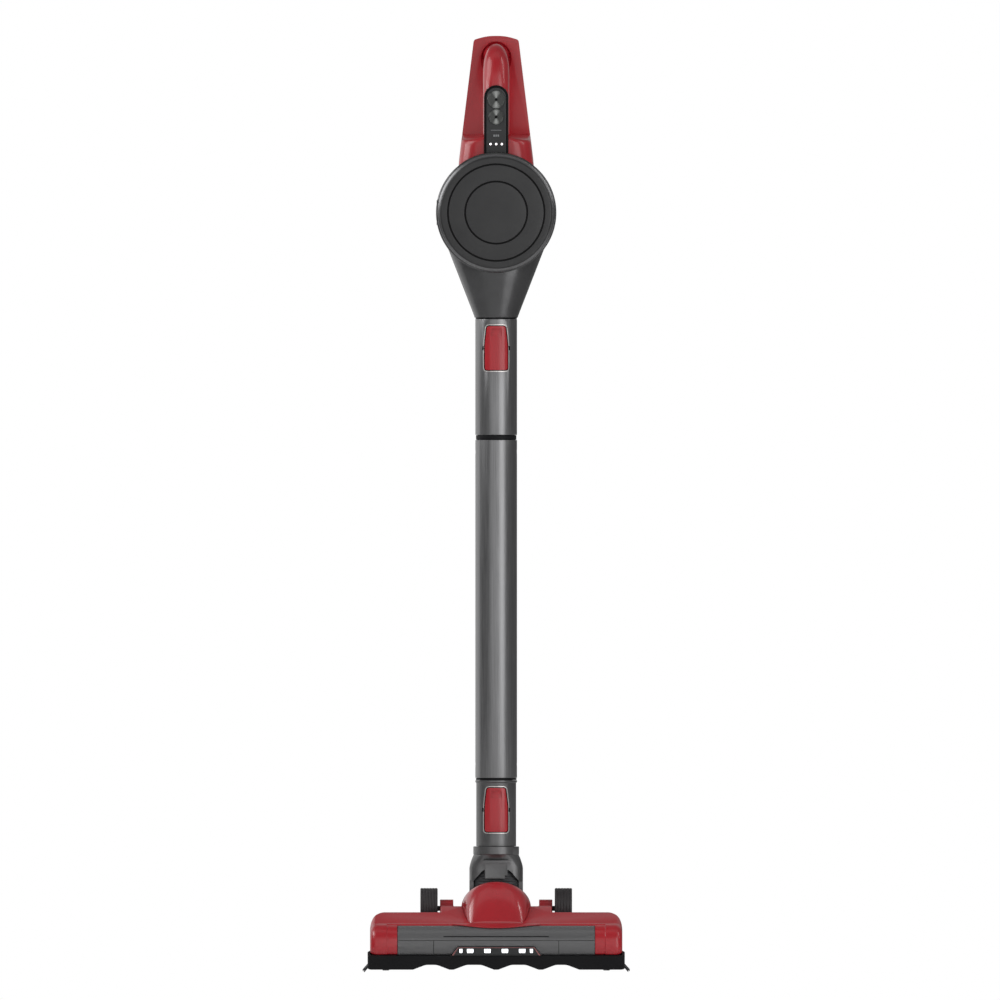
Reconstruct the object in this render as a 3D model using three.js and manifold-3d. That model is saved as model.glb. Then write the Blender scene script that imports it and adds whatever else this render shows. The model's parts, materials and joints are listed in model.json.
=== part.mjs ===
// Cordless stick vacuum, in millimetres: X to its right, Y towards the wall dock, Z up.
// The origin is the centre of the dock face on the back, level with the dust cup's axis.
// The wand hangs straight down and the floor head is tipped nose-down on its neck.
import * as THREE from 'three';
import { mergeVertices } from 'three/addons/utils/BufferGeometryUtils.js';
import Module from 'manifold-3d';

const wasm = await Module();
wasm.setup();

// ---- driving dimensions -------------------------------------------------------------

const GAP = 0.3;                // clearance between neighbouring pieces
const FINEST = 0.01;            // smallest step kept in a surface
const FLOOR_Z = -895;           // lowest point of the whole machine
const WAND_Y = -142;            // centre line of the wand
const HEAD_TILT = 25;           // degrees that the head is tipped nose-down

const CUP_RADIUS = 71;          // dust cup ring
const LID_RADIUS = 69;
const LID_FRONT_Y = -196;
const LID_BACK_Y = -188;
const RING_FRONT_Y = -185.7;
const RING_BACK_Y = -160;
const CUP_BACK_Y = -104.3;
const CUP_OUTER = 69;
const CUP_INNER = 66.5;

const BODY_TOP_Z = 209;         // top of the battery bay
const BODY_LOW_Z = 57;
const BODY_TOP_HALF = 26.5;     // half widths of the tapering handle body
const BODY_LOW_HALF = 44.5;
const SHOULDER_Z = 92;
const BAY_FRONT_Y = -78;
const BAY_BACK_Y = -40;
const GRIP_FRONT_Y = -160;
const GRIP_DEPTH = 36;
const GRIP_HALF = 15.5;

const TUBE_RADIUS = 24.6;
const NECK_RADIUS = 23.5;
const PLUG_BORE = 17.5;

const HEAD_HALF = 148.6;
const BUMPER_HALF = 151.5;
const BRUSH_Y = 27;             // brush axis, behind the head's front edge
const BRUSH_Z = 22;             // brush axis, above the floor under the head
const BRUSH_TIP = 19.5;
const WINDOW_HALF = 116.3;
const WHEEL_Y = 124;
const WHEEL_RADIUS = 24;
const WHEEL_X = 79.3;
const PIVOT_Y = 118;            // neck pivot in the head's own frame
const PIVOT_Z = 42;

const AROUND = 20;              // facets round an ordinary cylinder
const AROUND_LARGE = 30;
const AROUND_SMALL = 10;

// ---- derived places -----------------------------------------------------------------

const radians = (degrees) => (degrees * Math.PI) / 180;
const up = (height) => FLOOR_Z + height;
const TILT_COS = Math.cos(radians(HEAD_TILT));
const TILT_SIN = Math.sin(radians(HEAD_TILT));
const HEAD_ORIGIN = new THREE.Vector3(0, WAND_Y - PIVOT_Y * TILT_COS + PIVOT_Z * TILT_SIN, FLOOR_Z);
const PIVOT_UP = FLOOR_Z + PIVOT_Y * TILT_SIN + PIVOT_Z * TILT_COS;

// ---- making and cutting solids ------------------------------------------------------

function solid(geometry) {
  const plain = geometry.index ? geometry.toNonIndexed() : geometry.clone();
  plain.deleteAttribute('normal');
  plain.deleteAttribute('uv');
  const welded = mergeVertices(plain, 1e-4);
  const points = welded.attributes.position.array;
  const corner = (index) => new THREE.Vector3().fromArray(points, index * 3);
  const triangles = [];
  let volume = 0;
  for (let i = 0; i < welded.index.count; i += 3) {
    const [a, b, c] = [0, 1, 2].map((k) => welded.index.getX(i + k));
    if (a !== b && b !== c && c !== a) {
      triangles.push([a, b, c]);
      volume += corner(a).dot(corner(b).cross(corner(c)));
    }
  }
  const outward = volume < 0 ? triangles.map(([a, b, c]) => [a, c, b]) : triangles;
  const mesh = new wasm.Mesh({
    numProp: 3,
    vertProperties: new Float32Array(points),
    triVerts: new Uint32Array(outward.flat()),
  });
  return new wasm.Manifold(mesh);
}

function join(first, ...others) {
  return others.reduce((whole, piece) => whole.add(piece), first);
}

function cut(first, ...others) {
  return others.reduce((whole, piece) => whole.subtract(piece), first);
}

function block(x0, x1, y0, y1, z0, z1) {
  const box = new THREE.BoxGeometry(x1 - x0, y1 - y0, z1 - z0);
  return solid(box.translate((x0 + x1) / 2, (y0 + y1) / 2, (z0 + z1) / 2));
}

// Turns geometry made in (x, y) along +Z so that its (x, y) become (y, z) and it runs along +X.
function alongX(geometry) {
  const basis = new THREE.Matrix4().set(0, 0, 1, 0, 1, 0, 0, 0, 0, 1, 0, 0, 0, 0, 0, 1);
  return geometry.applyMatrix4(basis);
}

// A round bar from one end to the other along an axis, its centre at the two cross coordinates:
// (y, z) for x, (x, z) for y and (x, y) for z.
function bar(axis, from, to, u, v, radius, facets = AROUND, endRadius = radius) {
  const geometry = new THREE.CylinderGeometry(endRadius, radius, to - from, facets);
  const middle = (from + to) / 2;
  if (axis === 'x') geometry.rotateZ(-Math.PI / 2).translate(middle, u, v);
  if (axis === 'y') geometry.translate(u, middle, v);
  if (axis === 'z') geometry.rotateX(Math.PI / 2).translate(u, v, middle);
  return solid(geometry);
}

function pipe(axis, from, to, u, v, outer, inner, facets = AROUND) {
  const bore = bar(axis, from - 1, to + 1, u, v, inner, facets);
  return cut(bar(axis, from, to, u, v, outer, facets), bore);
}

// A closed outline of [u, v] points, with each corner rounded by the given radius.
function outline(points, radius = 0) {
  const shape = new THREE.Shape();
  points.forEach(([u, v, own], index) => {
    const here = new THREE.Vector2(u, v);
    const before = new THREE.Vector2(...points.at(index - 1).slice(0, 2));
    const after = new THREE.Vector2(...points[(index + 1) % points.length].slice(0, 2));
    const reach = own ?? radius;
    const enter = here.clone().add(before.sub(here).setLength(reach));
    const leave = here.clone().add(after.sub(here).setLength(reach));
    if (index === 0) shape.moveTo(enter.x, enter.y);
    else shape.lineTo(enter.x, enter.y);
    if (reach > 0) shape.quadraticCurveTo(u, v, leave.x, leave.y);
  });
  shape.closePath();
  return shape;
}

// An outline pushed along an axis. The outline's (u, v) are (y, z) for x, (x, z) for y, (x, y) for z.
function prism(axis, shape, from, to, curveSegments = 4) {
  const options = { depth: to - from, bevelEnabled: false, curveSegments };
  const geometry = new THREE.ExtrudeGeometry(shape, options);
  if (axis === 'x') return solid(alongX(geometry).translate(from, 0, 0));
  if (axis === 'y') return solid(geometry.rotateX(Math.PI / 2).translate(0, to, 0));
  return solid(geometry.translate(0, 0, from));
}

// A solid turned round a line along Y, from [radius, y] points.
function turnedY(profile, facets = AROUND) {
  const points = profile.map(([radius, y]) => new THREE.Vector2(radius, y));
  return solid(new THREE.LatheGeometry(points, facets));
}

// A solid turned round the wand's centre line, from [radius, z] points.
function turnedWand(profile, facets = AROUND) {
  const points = profile.map(([radius, z]) => new THREE.Vector2(radius, z));
  return solid(new THREE.LatheGeometry(points, facets).rotateX(Math.PI / 2).translate(0, WAND_Y, 0));
}

// A skin over equal-length rings of points, closed by a fan at each end.
function loft(rings) {
  const count = rings[0].length;
  const total = (ring) => ring.reduce((sum, point) => sum.add(point), new THREE.Vector3());
  const triangles = [];
  rings.slice(1).forEach((ring, index) => {
    const last = rings[index];
    for (let i = 0; i < count; i += 1) {
      const j = (i + 1) % count;
      triangles.push(last[i], last[j], ring[j], last[i], ring[j], ring[i]);
    }
  });
  const [first, final] = [rings[0], rings.at(-1)];
  const [start, end] = [first, final].map((ring) => total(ring).divideScalar(count));
  for (let i = 0; i < count; i += 1) {
    const j = (i + 1) % count;
    triangles.push(start, first[j], first[i], end, final[i], final[j]);
  }
  return solid(new THREE.BufferGeometry().setFromPoints(triangles));
}

// One ring of a superellipse, in the plane of the two given half axes.
function ovalRing(centre, halfAcross, halfAlong, power, count = 20) {
  const ring = [];
  for (let i = 0; i < count; i += 1) {
    const angle = (2 * Math.PI * i) / count;
    const bend = (value) => Math.sign(value) * Math.abs(value) ** (2 / power);
    const across = halfAcross.clone().multiplyScalar(bend(Math.cos(angle)));
    ring.push(across.add(centre).addScaledVector(halfAlong, bend(Math.sin(angle))));
  }
  return ring;
}

// ---- nodes --------------------------------------------------------------------------

const FINISHES = {
  red_gloss: { color: 0x8e1a26, roughness: 0.22, metalness: 0 },
  dark_satin: { color: 0x2e2f30, roughness: 0.42, metalness: 0.1 },
  black_matte: { color: 0x161616, roughness: 0.6, metalness: 0 },
  black_panel: { color: 0x1d1f20, roughness: 0.3, metalness: 0 },
  brushed_metal: { color: 0x6b6d6e, roughness: 0.35, metalness: 0.9 },
  tube_metal: { color: 0x8b8c8d, roughness: 0.32, metalness: 0.9 },
  smoky_clear: { color: 0x5a5c5e, roughness: 0.1, metalness: 0 },
  rubber_black: { color: 0x1a1a1a, roughness: 0.8, metalness: 0 },
  white_light: { color: 0xf4f6f8, roughness: 0.4, metalness: 0 },
  steel: { color: 0x9a9c9e, roughness: 0.3, metalness: 1 },
  copper_gold: { color: 0xc09a4a, roughness: 0.3, metalness: 1 },
  board_green: { color: 0x1d5a3a, roughness: 0.5, metalness: 0 },
  filter_white: { color: 0xd8d8d2, roughness: 0.9, metalness: 0 },
  bristle_dark: { color: 0x3a3a3c, roughness: 0.9, metalness: 0 },
  motor_grey: { color: 0x55585a, roughness: 0.5, metalness: 0.4 },
  battery_blue: { color: 0x2c4f7a, roughness: 0.5, metalness: 0 },
};

const machine = new THREE.Group();
const head = new THREE.Group();
head.position.copy(HEAD_ORIGIN);
head.rotation.x = radians(HEAD_TILT);
machine.add(head);

function addNode(parent, name, finish, manifold) {
  const { vertProperties, triVerts, numProp } = manifold.simplify(FINEST).getMesh();
  const geometry = new THREE.BufferGeometry();
  const positions = new Float32Array((vertProperties.length / numProp) * 3);
  for (let i = 0; i < positions.length / 3; i += 1) {
    positions.set(vertProperties.subarray(i * numProp, i * numProp + 3), i * 3);
  }
  geometry.setAttribute('position', new THREE.BufferAttribute(positions, 3));
  geometry.setIndex(new THREE.BufferAttribute(new Uint32Array(triVerts), 1));
  const faceted = geometry.toNonIndexed();
  faceted.computeVertexNormals();
  const mesh = new THREE.Mesh(faceted, new THREE.MeshStandardMaterial(FINISHES[finish]));
  mesh.name = name;
  parent.add(mesh);
}

// ---- handheld unit: housings --------------------------------------------------------

const MOTOR_FRONT_Y = -104;
const MOTOR_BACK_Y = -16;
const SHELL = 2.5;

function bodyHalfWidth(z) {
  const share = (z - BODY_LOW_Z) / (BODY_TOP_Z - BODY_LOW_Z);
  return BODY_LOW_HALF + (BODY_TOP_HALF - BODY_LOW_HALF) * share;
}

function buildMotorHousing() {
  const outer = turnedY([[0, MOTOR_FRONT_Y], [68, MOTOR_FRONT_Y], [68, -66], [60, -34],
    [52, MOTOR_BACK_Y], [0, MOTOR_BACK_Y]]);
  const inner = turnedY([[0, -110], [65.5, -110], [65.5, -66.6], [57.5, -34.6],
    [49.6, -19], [42, -19], [42, -10], [0, -10]]);
  return cut(outer, inner);
}

function buildShoulder() {
  const low = bodyHalfWidth(BODY_LOW_Z);
  const edge = bodyHalfWidth(84);
  const frontTop = outline([[-low, 20], [-low, BODY_LOW_Z, 2], [-edge, 85.5, 3], [-16, 92, 12], [16, 92, 12],
    [edge, 85.5, 3], [low, BODY_LOW_Z, 2], [low, 20]]);
  const top = bodyHalfWidth(SHOULDER_Z);
  const backTop = outline([[-low, 20], [-low, BODY_LOW_Z], [-top, SHOULDER_Z], [top, SHOULDER_Z],
    [low, BODY_LOW_Z], [low, 20]]);
  const outer = join(
    prism('y', frontTop, GRIP_FRONT_Y, BAY_FRONT_Y),
    prism('y', backTop, BAY_FRONT_Y - 0.01, -30),
  );
  const hollow = outline([[-low + SHELL, 20], [-low + SHELL, BODY_LOW_Z], [-edge + SHELL, 82],
    [-14, 88.5], [14, 88.5], [edge - SHELL, 82], [low - SHELL, BODY_LOW_Z], [low - SHELL, 20]]);
  const inside = prism('y', hollow, GRIP_FRONT_Y + SHELL, -30 - SHELL);
  const saddleFront = bar('y', -170, MOTOR_FRONT_Y - GAP, 0, 0, CUP_RADIUS + 0.6, AROUND_LARGE);
  const saddleBack = bar('y', MOTOR_FRONT_Y - 0.5, -20, 0, 0, 68.5, AROUND_LARGE);
  return cut(outer, inside, saddleFront, saddleBack);
}

function buildHandleLoop() {
  const middle = GRIP_FRONT_Y + GRIP_DEPTH / 2;
  const half = GRIP_DEPTH / 2;
  // Each station: [y, z, lean of the section in degrees, half width, half thickness]
  const stations = [
    [middle, SHOULDER_Z + GAP, 0, GRIP_HALF, half], [middle, 150, 0, GRIP_HALF, half],
    [middle + 1, 166, 8, GRIP_HALF - 0.5, half - 1], [middle + 5, 178, 32, 12, 15],
    [middle + 14, 186, 58, 9.5, 12.5], [middle + 28, 189, 82, 8.5, 11],
    [middle + 44, 188, 92, 10, 11], [BAY_FRONT_Y - GAP, 187, 90, 15, 12],
  ];
  const rings = stations.map(([y, z, lean, across, thick]) => {
    const turn = radians(lean);
    const alongAxis = new THREE.Vector3(0, Math.cos(turn), -Math.sin(turn)).multiplyScalar(thick);
    return ovalRing(new THREE.Vector3(0, y, z), new THREE.Vector3(across, 0, 0), alongAxis, 3);
  });
  const flatFront = block(-30, 30, -170, GRIP_FRONT_Y + 1.2, 80, 154);
  const boardPocket = block(-12.4, 12.4, -162, -150, 97, 147);
  return cut(loft(rings), flatFront, boardPocket);
}

function bayOutline(inset, lowZ) {
  const top = BODY_TOP_Z - inset;
  const lowHalf = bodyHalfWidth(lowZ) - inset;
  const topHalf = bodyHalfWidth(top) - inset;
  return outline([[-lowHalf, lowZ + inset], [-topHalf, top - 4, 3], [0, top + 2.5, 16],
    [topHalf, top - 4, 3], [lowHalf, lowZ + inset]]);
}

const BAY_LOW_Z = SHOULDER_Z + GAP;

function buildBatteryBay() {
  const inside = prism('y', bayOutline(SHELL, BAY_LOW_Z), BAY_FRONT_Y + 4, BAY_BACK_Y + 1);
  return cut(prism('y', bayOutline(0, BAY_LOW_Z), BAY_FRONT_Y, BAY_BACK_Y), inside);
}

addNode(machine, 'motor_housing', 'red_gloss', buildMotorHousing());
addNode(machine, 'shoulder_housing', 'red_gloss', buildShoulder());
addNode(machine, 'handle_loop', 'red_gloss', buildHandleLoop());
addNode(machine, 'battery_bay', 'red_gloss', buildBatteryBay());

// ---- handheld unit: control panel ---------------------------------------------------

const PANEL_FRONT_Y = -163.5;
const PANEL_BACK_Y = -160.3;
const PANEL_HALF = 13.6;
const PANEL_TOP_Z = 150.4;
const BUTTON_FRONT_Y = -165.2;
const POWER_BUTTON = { z: 133.5, radius: 10.6 };
const MODE_BUTTON = { z: 113, radius: 9.1 };
const LIGHT_Z = 81;
const LIGHT_PITCH = 6.7;
const LIGHT_XS = [-LIGHT_PITCH, 0, LIGHT_PITCH];

function buildControlPanel() {
  const capsule = join(
    block(-PANEL_HALF, PANEL_HALF, PANEL_FRONT_Y, PANEL_BACK_Y, 60, PANEL_TOP_Z - PANEL_HALF),
    bar('y', PANEL_FRONT_Y, PANEL_BACK_Y, 0, PANEL_TOP_Z - PANEL_HALF, PANEL_HALF),
  );
  const holes = [POWER_BUTTON, MODE_BUTTON].map(({ z, radius }) => bar('y', -170, -150, 0, z, radius + GAP));
  const lights = LIGHT_XS.map((x) => bar('y', -170, -150, x, LIGHT_Z, 1.6, AROUND_SMALL));
  const lightPocket = block(-9, 9, -161.8, -150, LIGHT_Z - 2.4, LIGHT_Z + 2.4);
  const cupClearance = bar('y', -170, -150, 0, 0, CUP_RADIUS + 0.6, AROUND_LARGE);
  return cut(capsule, ...holes, ...lights, lightPocket, cupClearance);
}

function buildStatusLights() {
  const strip = block(-8.6, 8.6, -161.5, -160.4, LIGHT_Z - 2, LIGHT_Z + 2);
  const pins = LIGHT_XS.map((x) => bar('y', -163.6, -161, x, LIGHT_Z, 1.3, AROUND_SMALL));
  return join(strip, ...pins);
}

function buildButton({ z, radius }) {
  return cut(
    bar('y', BUTTON_FRONT_Y, -161, 0, z, radius),
    bar('y', BUTTON_FRONT_Y - 1, BUTTON_FRONT_Y + 0.4, 0, z, radius - 2.5, AROUND_SMALL),
  );
}

addNode(machine, 'control_panel', 'black_panel', buildControlPanel());
addNode(machine, 'status_lights', 'white_light', buildStatusLights());
addNode(machine, 'power_button', 'brushed_metal', buildButton(POWER_BUTTON));
addNode(machine, 'mode_button', 'brushed_metal', buildButton(MODE_BUTTON));
addNode(machine, 'control_board', 'board_green', block(-11.5, 11.5, -156.5, -154.9, 98, 146));

// ---- handheld unit: battery ---------------------------------------------------------

const PACK_BACK_Y = -14;
const CELL_RADIUS = 8.7;
const LATCH_Z = 112;

function buildBatteryCase() {
  const backPart = prism('y', bayOutline(0, BAY_LOW_Z), BAY_BACK_Y + GAP, PACK_BACK_Y);
  const frontPart = prism('y', bayOutline(SHELL + GAP, BAY_LOW_Z), BAY_FRONT_Y + 4 + GAP, BAY_BACK_Y + 1);
  const hollow = prism('y', bayOutline(SHELL + 2.4, BAY_LOW_Z), BAY_FRONT_Y + 3, PACK_BACK_Y - 6);
  const latchWell = block(-13, 13, PACK_BACK_Y - 4.5, PACK_BACK_Y + 1, LATCH_Z - 7, LATCH_Z + 7);
  return cut(join(backPart, frontPart), hollow, latchWell);
}

function buildBatteryCells() {
  const cells = [];
  for (const y of [-60, -41]) {
    for (const x of [-17.6, 0, 17.6]) {
      cells.push(bar('z', 97.8, 162.8, x, y, CELL_RADIUS, AROUND_SMALL));
    }
  }
  const holders = [104, 154].map((z) => block(-25, 25, -66, -35, z, z + 3));
  return join(block(-10, 10, -54, -47, 100, 160), ...holders, ...cells);
}

addNode(machine, 'battery_case', 'red_gloss', buildBatteryCase());
addNode(machine, 'battery_cells', 'battery_blue', buildBatteryCells());
addNode(machine, 'battery_latch', 'dark_satin',
  block(-12.6, 12.6, PACK_BACK_Y - 2, PACK_BACK_Y + 0.6, LATCH_Z - 6.6, LATCH_Z + 6.6));

// ---- handheld unit: motor, filters and dock -----------------------------------------

const BLADES = 9;

function buildSuctionMotor() {
  const can = bar('y', -88, -46, 0, 0, 36);
  const ring = pipe('y', -80, -72, 0, 0, 58, 35);
  const nose = bar('y', -46.5, -38, 0, 0, 12, AROUND_SMALL);
  const shaftSeat = bar('y', -95, -84, 0, 0, 3.4, AROUND_SMALL);
  return cut(join(can, ring, nose), shaftSeat);
}

function buildImpeller() {
  const plate = bar('y', -91, -89, 0, 0, 32);
  const shaft = bar('y', -99, -85, 0, 0, 3, AROUND_SMALL);
  const hub = bar('y', -98, -90, 0, 0, 8, AROUND_SMALL);
  const blades = [];
  for (let i = 0; i < BLADES; i += 1) {
    blades.push(block(6, 31, -97.5, -90.5, -0.8, 0.8).rotate([0, (360 * i) / BLADES, 0]));
  }
  return join(plate, shaft, hub, ...blades);
}

function buildExhaustGrille() {
  const disc = bar('y', -15.7, -12, 0, 0, 50);
  const slots = [];
  for (let i = 0; i < 20; i += 1) {
    slots.push(block(36, 46, -20, -10, -1.8, 1.8).rotate([0, 18 * i, 0]));
  }
  return cut(disc, ...slots);
}

function buildDockPlate() {
  const plate = prism('y', outline([[-22, -30], [-22, 30], [22, 30], [22, -30]], 6), -11.7, 0);
  const slot = (x) => block(x - 4.4, x + 4.4, -8, 1, -21.4, -8.6);
  return cut(plate, slot(-9), slot(9), block(-9, 9, -8, -5, -17, -13));
}

function buildDockContacts() {
  const pad = (x) => block(x - 4, x + 4, -7.7, -1, -21, -9);
  return join(pad(-9), pad(9), block(-9, 9, -7.6, -5.4, -16.6, -13.4));
}

addNode(machine, 'suction_motor', 'motor_grey', buildSuctionMotor());
addNode(machine, 'impeller', 'steel', buildImpeller());
addNode(machine, 'exhaust_filter', 'filter_white', pipe('y', -32, -19.6, 0, 0, 48, 14));
addNode(machine, 'exhaust_grille', 'dark_satin', buildExhaustGrille());
addNode(machine, 'dock_plate', 'dark_satin', buildDockPlate());
addNode(machine, 'dock_contacts', 'copper_gold', buildDockContacts());

// ---- handheld unit: dust cup, lid and inlet -----------------------------------------

const LID_HINGE_X = -67.6;
const LID_HINGE_Y = -184.5;
const LID_PIN_RADIUS = 1;
const KNUCKLE_RADIUS = 2.8;
const LATCH_INNER_X = 61.5;
const LATCH_TRAVEL = 2;
const CONE_TOP_Z = -20;
const CONE_END_Z = -123.5;

function coneRing(z, halfX, halfY) {
  const centre = new THREE.Vector3(0, WAND_Y, z);
  return ovalRing(centre, new THREE.Vector3(halfX, 0, 0), new THREE.Vector3(0, halfY, 0), 2.2, 24);
}

function coneRings(inset) {
  const straight = (z) => 28.7 + 0.388 * (z + 114.5);
  return [
    coneRing(CONE_TOP_Z, straight(CONE_TOP_Z) - inset, 37 - inset),
    coneRing(-60, straight(-60) - inset, 37 - inset),
    coneRing(-92, straight(-92) - inset, 32 - inset),
    coneRing(-119, straight(-119) - inset, 26.6 - inset),
    coneRing(CONE_END_Z, 25.6 - inset, 25.4 - inset),
  ];
}

function buildInletHousing() {
  const ring = bar('y', RING_FRONT_Y, RING_BACK_Y, 0, 0, CUP_RADIUS, AROUND_LARGE);
  const spigot = bar('z', -148, -122, 0, WAND_Y, 19.2);
  const outer = join(ring, loft(coneRings(0)), spigot);
  const bore = bar('y', RING_FRONT_Y - 1, RING_BACK_Y + 1, 0, 0, 57, AROUND_LARGE);
  const cupSeat = bar('y', RING_BACK_Y - 0.01, -100, 0, 0, CUP_OUTER + GAP, AROUND_LARGE);
  const airway = loft([coneRing(-50, 26, 24), coneRing(-118, 19, 19), coneRing(-123, PLUG_BORE, PLUG_BORE)]);
  const spigotBore = bar('z', -150, -122, 0, WAND_Y, PLUG_BORE);
  const hingeNotch = block(-75, -62.5, -187, -179, -15, 15);
  const hingeLugs = [-12.6, 12.6].map((z) => block(-70.2, -62, LID_HINGE_Y - 1.6, -178, z - 2, z + 2));
  const pinHole = bar('z', -20, 20, LID_HINGE_X, LID_HINGE_Y, LID_PIN_RADIUS + 0.1, AROUND_SMALL);
  const latchSlot = block(LATCH_INNER_X - LATCH_TRAVEL - GAP, 72, -187, -170, -7.3, 7.3);
  const housing = cut(outer, bore, cupSeat, airway, spigotBore, hingeNotch, latchSlot);
  return cut(join(housing, ...hingeLugs), pinHole);
}

function buildDustCup() {
  const wall = pipe('y', RING_BACK_Y + GAP, CUP_BACK_Y, 0, 0, CUP_OUTER, CUP_INNER, AROUND_LARGE);
  return cut(wall, block(-20, 20, WAND_Y - 14, WAND_Y + 14, -75, -40));
}

function buildCupLid() {
  const disc = turnedY([[0, LID_FRONT_Y], [55, LID_FRONT_Y + 0.6], [66, LID_FRONT_Y + 1.6],
    [LID_RADIUS, LID_FRONT_Y + 4], [LID_RADIUS, LID_BACK_Y - 0.6], [LID_RADIUS - 1, LID_BACK_Y],
    [0, LID_BACK_Y]], AROUND_LARGE);
  const knuckle = bar('z', -9.8, 9.8, LID_HINGE_X, LID_HINGE_Y, KNUCKLE_RADIUS, AROUND_SMALL);
  const arm = block(LID_HINGE_X - 1.2, LID_HINGE_X + 3.4, LID_BACK_Y - 2, LID_HINGE_Y, -9.8, 9.8);
  const pinHole = bar('z', -12, 12, LID_HINGE_X, LID_HINGE_Y, LID_PIN_RADIUS + 0.1, AROUND_SMALL);
  const rimClear = pipe('y', LID_BACK_Y + 0.01, -170, 0, 0, 90, LID_RADIUS + 1.9, AROUND_LARGE);
  return cut(join(disc, knuckle, arm), pinHole, rimClear);
}

function buildInletFlap() {
  const flap = block(-21, 21, WAND_Y - 17, WAND_Y + 15.5, -61.5, -60);
  const hinge = bar('x', -21, 21, WAND_Y + 16.5, -60.7, 1.4, AROUND_SMALL);
  return join(flap, hinge, block(-21, 21, WAND_Y + 15, WAND_Y + 16.5, -61.5, -60));
}

function buildCycloneScreen() {
  const shell = cut(bar('y', -157, -122, 0, 0, 34), bar('y', -155, -120, 0, 0, 32.4));
  return join(shell, pipe('y', -124, -122, 0, 0, 62, 32.8));
}

addNode(machine, 'inlet_housing', 'dark_satin', buildInletHousing());
addNode(machine, 'dust_cup', 'smoky_clear', buildDustCup());
addNode(machine, 'cup_lid', 'dark_satin', buildCupLid());
addNode(machine, 'lid_seal', 'rubber_black',
  pipe('y', LID_BACK_Y + GAP, RING_FRONT_Y - GAP, 0, 0, 61, 57.4, AROUND_LARGE));
addNode(machine, 'lid_hinge_pin', 'steel',
  bar('z', -14.4, 14.4, LID_HINGE_X, LID_HINGE_Y, LID_PIN_RADIUS, AROUND_SMALL));
addNode(machine, 'lid_latch', 'dark_satin', block(LATCH_INNER_X, 69.8, -185.2, -171, -7, 7));
addNode(machine, 'cyclone_screen', 'steel', buildCycloneScreen());
addNode(machine, 'pre_motor_filter', 'filter_white', pipe('y', -121.6, -108, 0, 0, 64, 20));
addNode(machine, 'inlet_flap', 'rubber_black', buildInletFlap());

// ---- wand ---------------------------------------------------------------------------

const COUPLING_TOP_Z = up(769.7);
const COUPLING_LOW_Z = up(633);
const TUBE_TOP_Z = up(627);
const TUBE_LOW_Z = up(228.4);
const SLEEVE_BORE = 19.6;
const BUTTON_LENGTH = 51.8;
const BUTTON_OUT = 26.4;        // how far a release button stands from the wand's centre line

// The front outline of a wand release button, tapering to its top.
function releaseOutline(topZ, grow) {
  const low = topZ - BUTTON_LENGTH - grow;
  const [narrow, wide] = [10.85 + grow, 13.45 + grow];
  return outline([[-wide, low], [-wide, topZ - 22], [-narrow, topZ + grow], [narrow, topZ + grow],
    [wide, topZ - 22], [wide, low]], 3);
}

function frontPrism(shape, radiusIn, radiusOut, lowZ, highZ) {
  const band = pipe('z', lowZ, highZ, 0, WAND_Y, radiusOut, radiusIn, AROUND_LARGE);
  return band.intersect(prism('y', shape, WAND_Y - 40, WAND_Y - 5));
}

function buttonPocket(topZ) {
  const shape = releaseOutline(topZ, 0.6);
  return frontPrism(shape, 20.9, 40, topZ - 60, topZ + 10);
}

function buildReleaseButton(topZ) {
  const skin = frontPrism(releaseOutline(topZ, 0), 23.2, BUTTON_OUT, topZ - 60, topZ + 10);
  const pivotZ = topZ - BUTTON_LENGTH / 2;
  const lug = block(-5, 5, WAND_Y - 24.4, WAND_Y - 21.4, pivotZ - 2.2, pivotZ + 2.2);
  const pinHole = bar('x', -8, 8, WAND_Y - 22.9, pivotZ, 0.9, AROUND_SMALL);
  return cut(join(skin, lug), pinHole);
}

function buildButtonPin(topZ) {
  return bar('x', -7.5, 7.5, WAND_Y - 22.9, topZ - BUTTON_LENGTH / 2, 0.8, AROUND_SMALL);
}

const UPPER_BUTTON_Z = up(761.3);
const LOWER_BUTTON_Z = up(216.6);

function buildUpperCoupling() {
  const wall = turnedWand([[SLEEVE_BORE, COUPLING_TOP_Z], [TUBE_RADIUS, COUPLING_TOP_Z],
    [TUBE_RADIUS, COUPLING_LOW_Z], [22.6, COUPLING_LOW_Z], [22.6, up(680)], [SLEEVE_BORE, up(690)],
    [SLEEVE_BORE, COUPLING_TOP_Z]], AROUND_LARGE);
  return cut(wall, buttonPocket(UPPER_BUTTON_Z));
}

function buildCouplingRing() {
  const [high, low] = [COUPLING_LOW_Z - GAP, TUBE_TOP_Z + GAP];
  return turnedWand([[18, up(675)], [22.2, up(675)], [22.2, high], [23.9, high], [23.9, low],
    [22.8, low], [22.8, up(612)], [18, up(612)], [18, up(675)]]);
}

function buildLowerSpigot() {
  return turnedWand([[PLUG_BORE, up(245)], [22.8, up(245)], [22.8, TUBE_LOW_Z - GAP], [24, TUBE_LOW_Z - GAP],
    [24, up(225.8)], [19.2, up(225.8)], [19.2, up(178)], [PLUG_BORE, up(178)], [PLUG_BORE, up(245)]]);
}

addNode(machine, 'upper_coupling', 'tube_metal', buildUpperCoupling());
addNode(machine, 'upper_release_button', 'red_gloss', buildReleaseButton(UPPER_BUTTON_Z));
addNode(machine, 'upper_button_pin', 'steel', buildButtonPin(UPPER_BUTTON_Z));
addNode(machine, 'coupling_ring', 'black_matte', buildCouplingRing());
addNode(machine, 'wand_tube', 'tube_metal',
  pipe('z', TUBE_LOW_Z, TUBE_TOP_Z, 0, WAND_Y, TUBE_RADIUS, 23.2, AROUND_LARGE));
addNode(machine, 'wire_channel', 'black_matte',
  block(-4, 4, WAND_Y + 18, WAND_Y + 22.2, up(250), up(608)));
addNode(machine, 'lower_spigot', 'black_matte', buildLowerSpigot());

// ---- neck ---------------------------------------------------------------------------

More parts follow.
